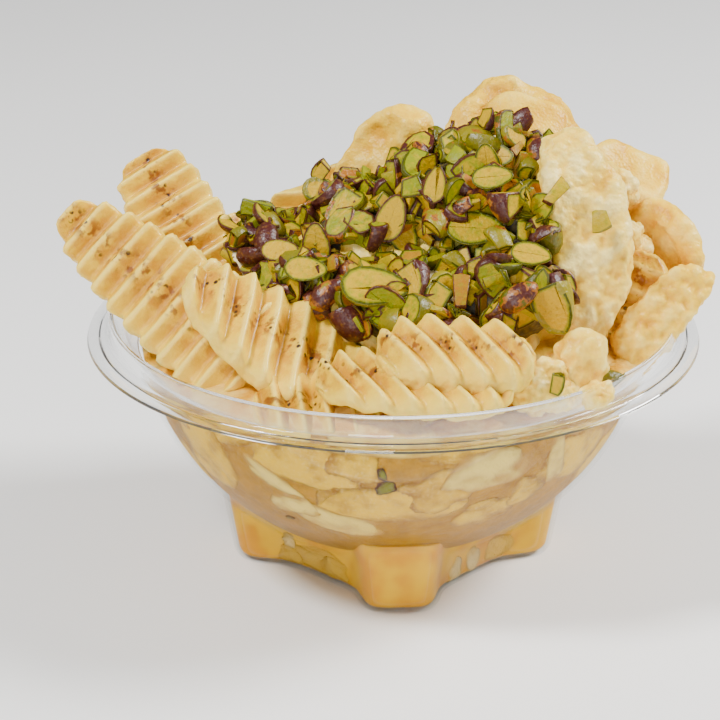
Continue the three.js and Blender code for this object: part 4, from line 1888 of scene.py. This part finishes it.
    def scattered(self) -> list[Piece]:
        """One joined mesh for each cut.

        Returns:
            The three meshes.
        """
        rng = np.random.default_rng(self.seed)
        prototypes = self.prototypes(rng)
        parts: dict[Cut, list[Piece]] = {cut: [] for cut in Cut}
        for cut, place, tint in self.placements(rng):
            model = prototypes[cut][int(rng.integers(len(prototypes[cut])))]
            nut = bpy.data.objects.new("nut", model.data.copy())
            nut.data.transform(place)
            attribute = nut.data.attributes.new("tint", "FLOAT_COLOR", "POINT")
            attribute.data.foreach_set("color", np.tile((*tint, 1.0), len(nut.data.vertices)))
            bpy.context.scene.collection.objects.link(nut)
            parts[cut].append(nut)
        for models in prototypes.values():
            for model in models:
                bpy.data.objects.remove(model)
        return [joined("pistachio_" + cut.value, nuts) for cut, nuts in parts.items() if nuts]

    def dressed(self) -> None:
        """Builds and dresses the bed and the nuts in place of the topping's node."""
        core = self.core()
        points = points_of(core)
        bare = np.clip((self.from_topping(points) - 6) / 2, 0, 1)
        for x, y, radius in self.bare_spots:
            share = np.hypot(points[:, 0] - x, points[:, 1] - y) / radius
            bare = np.maximum(bare, np.clip(1.5 - share, 0, 1))
        mark(core, "bare", bare)
        present(core, Slot.WHITE_CREAM, CrumbedShadedCream().material())
        for index, piece in enumerate(self.scattered()):
            take(piece)
            bpy.ops.object.shade_smooth_by_angle(angle=math.radians(38))
            present(piece, Slot.PISTACHIO, None, *(() if index else ("pistachio_topping",)))


# ---- The studio ----


@dataclass
class Studio:
    """A pale floor, soft lights, and a camera that looks down on the front of the bowl."""

    lens: float = 161.5
    floor_size: float = 4.0

    def lamp(self, name: str, at: Point, size: float, power: float) -> None:
        """A square soft light aimed at the middle of the food.

        Args:
            name: Its name.
            at: Its place in metres.
            size: The side of the square in metres.
            power: Its power in watts.
        """
        light = bpy.data.lights.new(name, "AREA")
        light.energy = power
        light.size = size
        lamp = bpy.data.objects.new(name, light)
        lamp.location = at
        lamp.rotation_euler = (Vector((0, 0, 0.06)) - Vector(at)).to_track_quat("-Z", "Y").to_euler()
        bpy.context.scene.collection.objects.link(lamp)

    def build(self) -> None:
        """Sets up the camera, the floor, the lights and the surroundings."""
        camera = bpy.data.objects.new("camera", bpy.data.cameras.new("camera"))
        camera.location = Vector(CAMERA_AT) * MM
        camera.rotation_euler = (math.radians(CAMERA_TILT), 0, 0)
        camera.data.lens = self.lens
        camera.data.clip_start = 0.01
        bpy.context.scene.collection.objects.link(camera)
        bpy.context.scene.camera = camera
        deselect()
        bpy.ops.mesh.primitive_plane_add(size=self.floor_size)
        floor = named("floor")
        recipe = Recipe("pale_floor")
        tone = recipe.clouded("f1f0ee", "f6f5f3", 300, 2, (0.3, 0.7))
        floor.data.materials.append(recipe.surfaced(Base_Color=tone, Roughness=0.6))
        self.lamp("key", (-0.5, -0.25, 0.85), 0.2, 13.0)
        self.lamp("right", (0.6, 0.1, 0.6), 0.3, 12.5)
        self.lamp("front", (-0.15, -1.0, 0.3), 0.3, 5.0)
        world = bpy.data.worlds.new("surroundings")
        world.use_nodes = True
        background = world.node_tree.nodes["Background"]
        background.inputs["Color"].default_value = (1, 1, 1, 1)
        background.inputs["Strength"].default_value = 0.15
        bpy.context.scene.world = world


def main() -> None:
    """Builds the studio and every piece."""
    logging.basicConfig(level=logging.INFO, format="%(name)s: %(message)s")
    Studio().build()
    bowl = Bowl()
    bowl.dressed()
    Filling(bowl).dressed()
    Slices().dressed()
    CreamPieces().dressed()
    PistachioHeap().dressed()


if __name__ == "__main__":
    main()
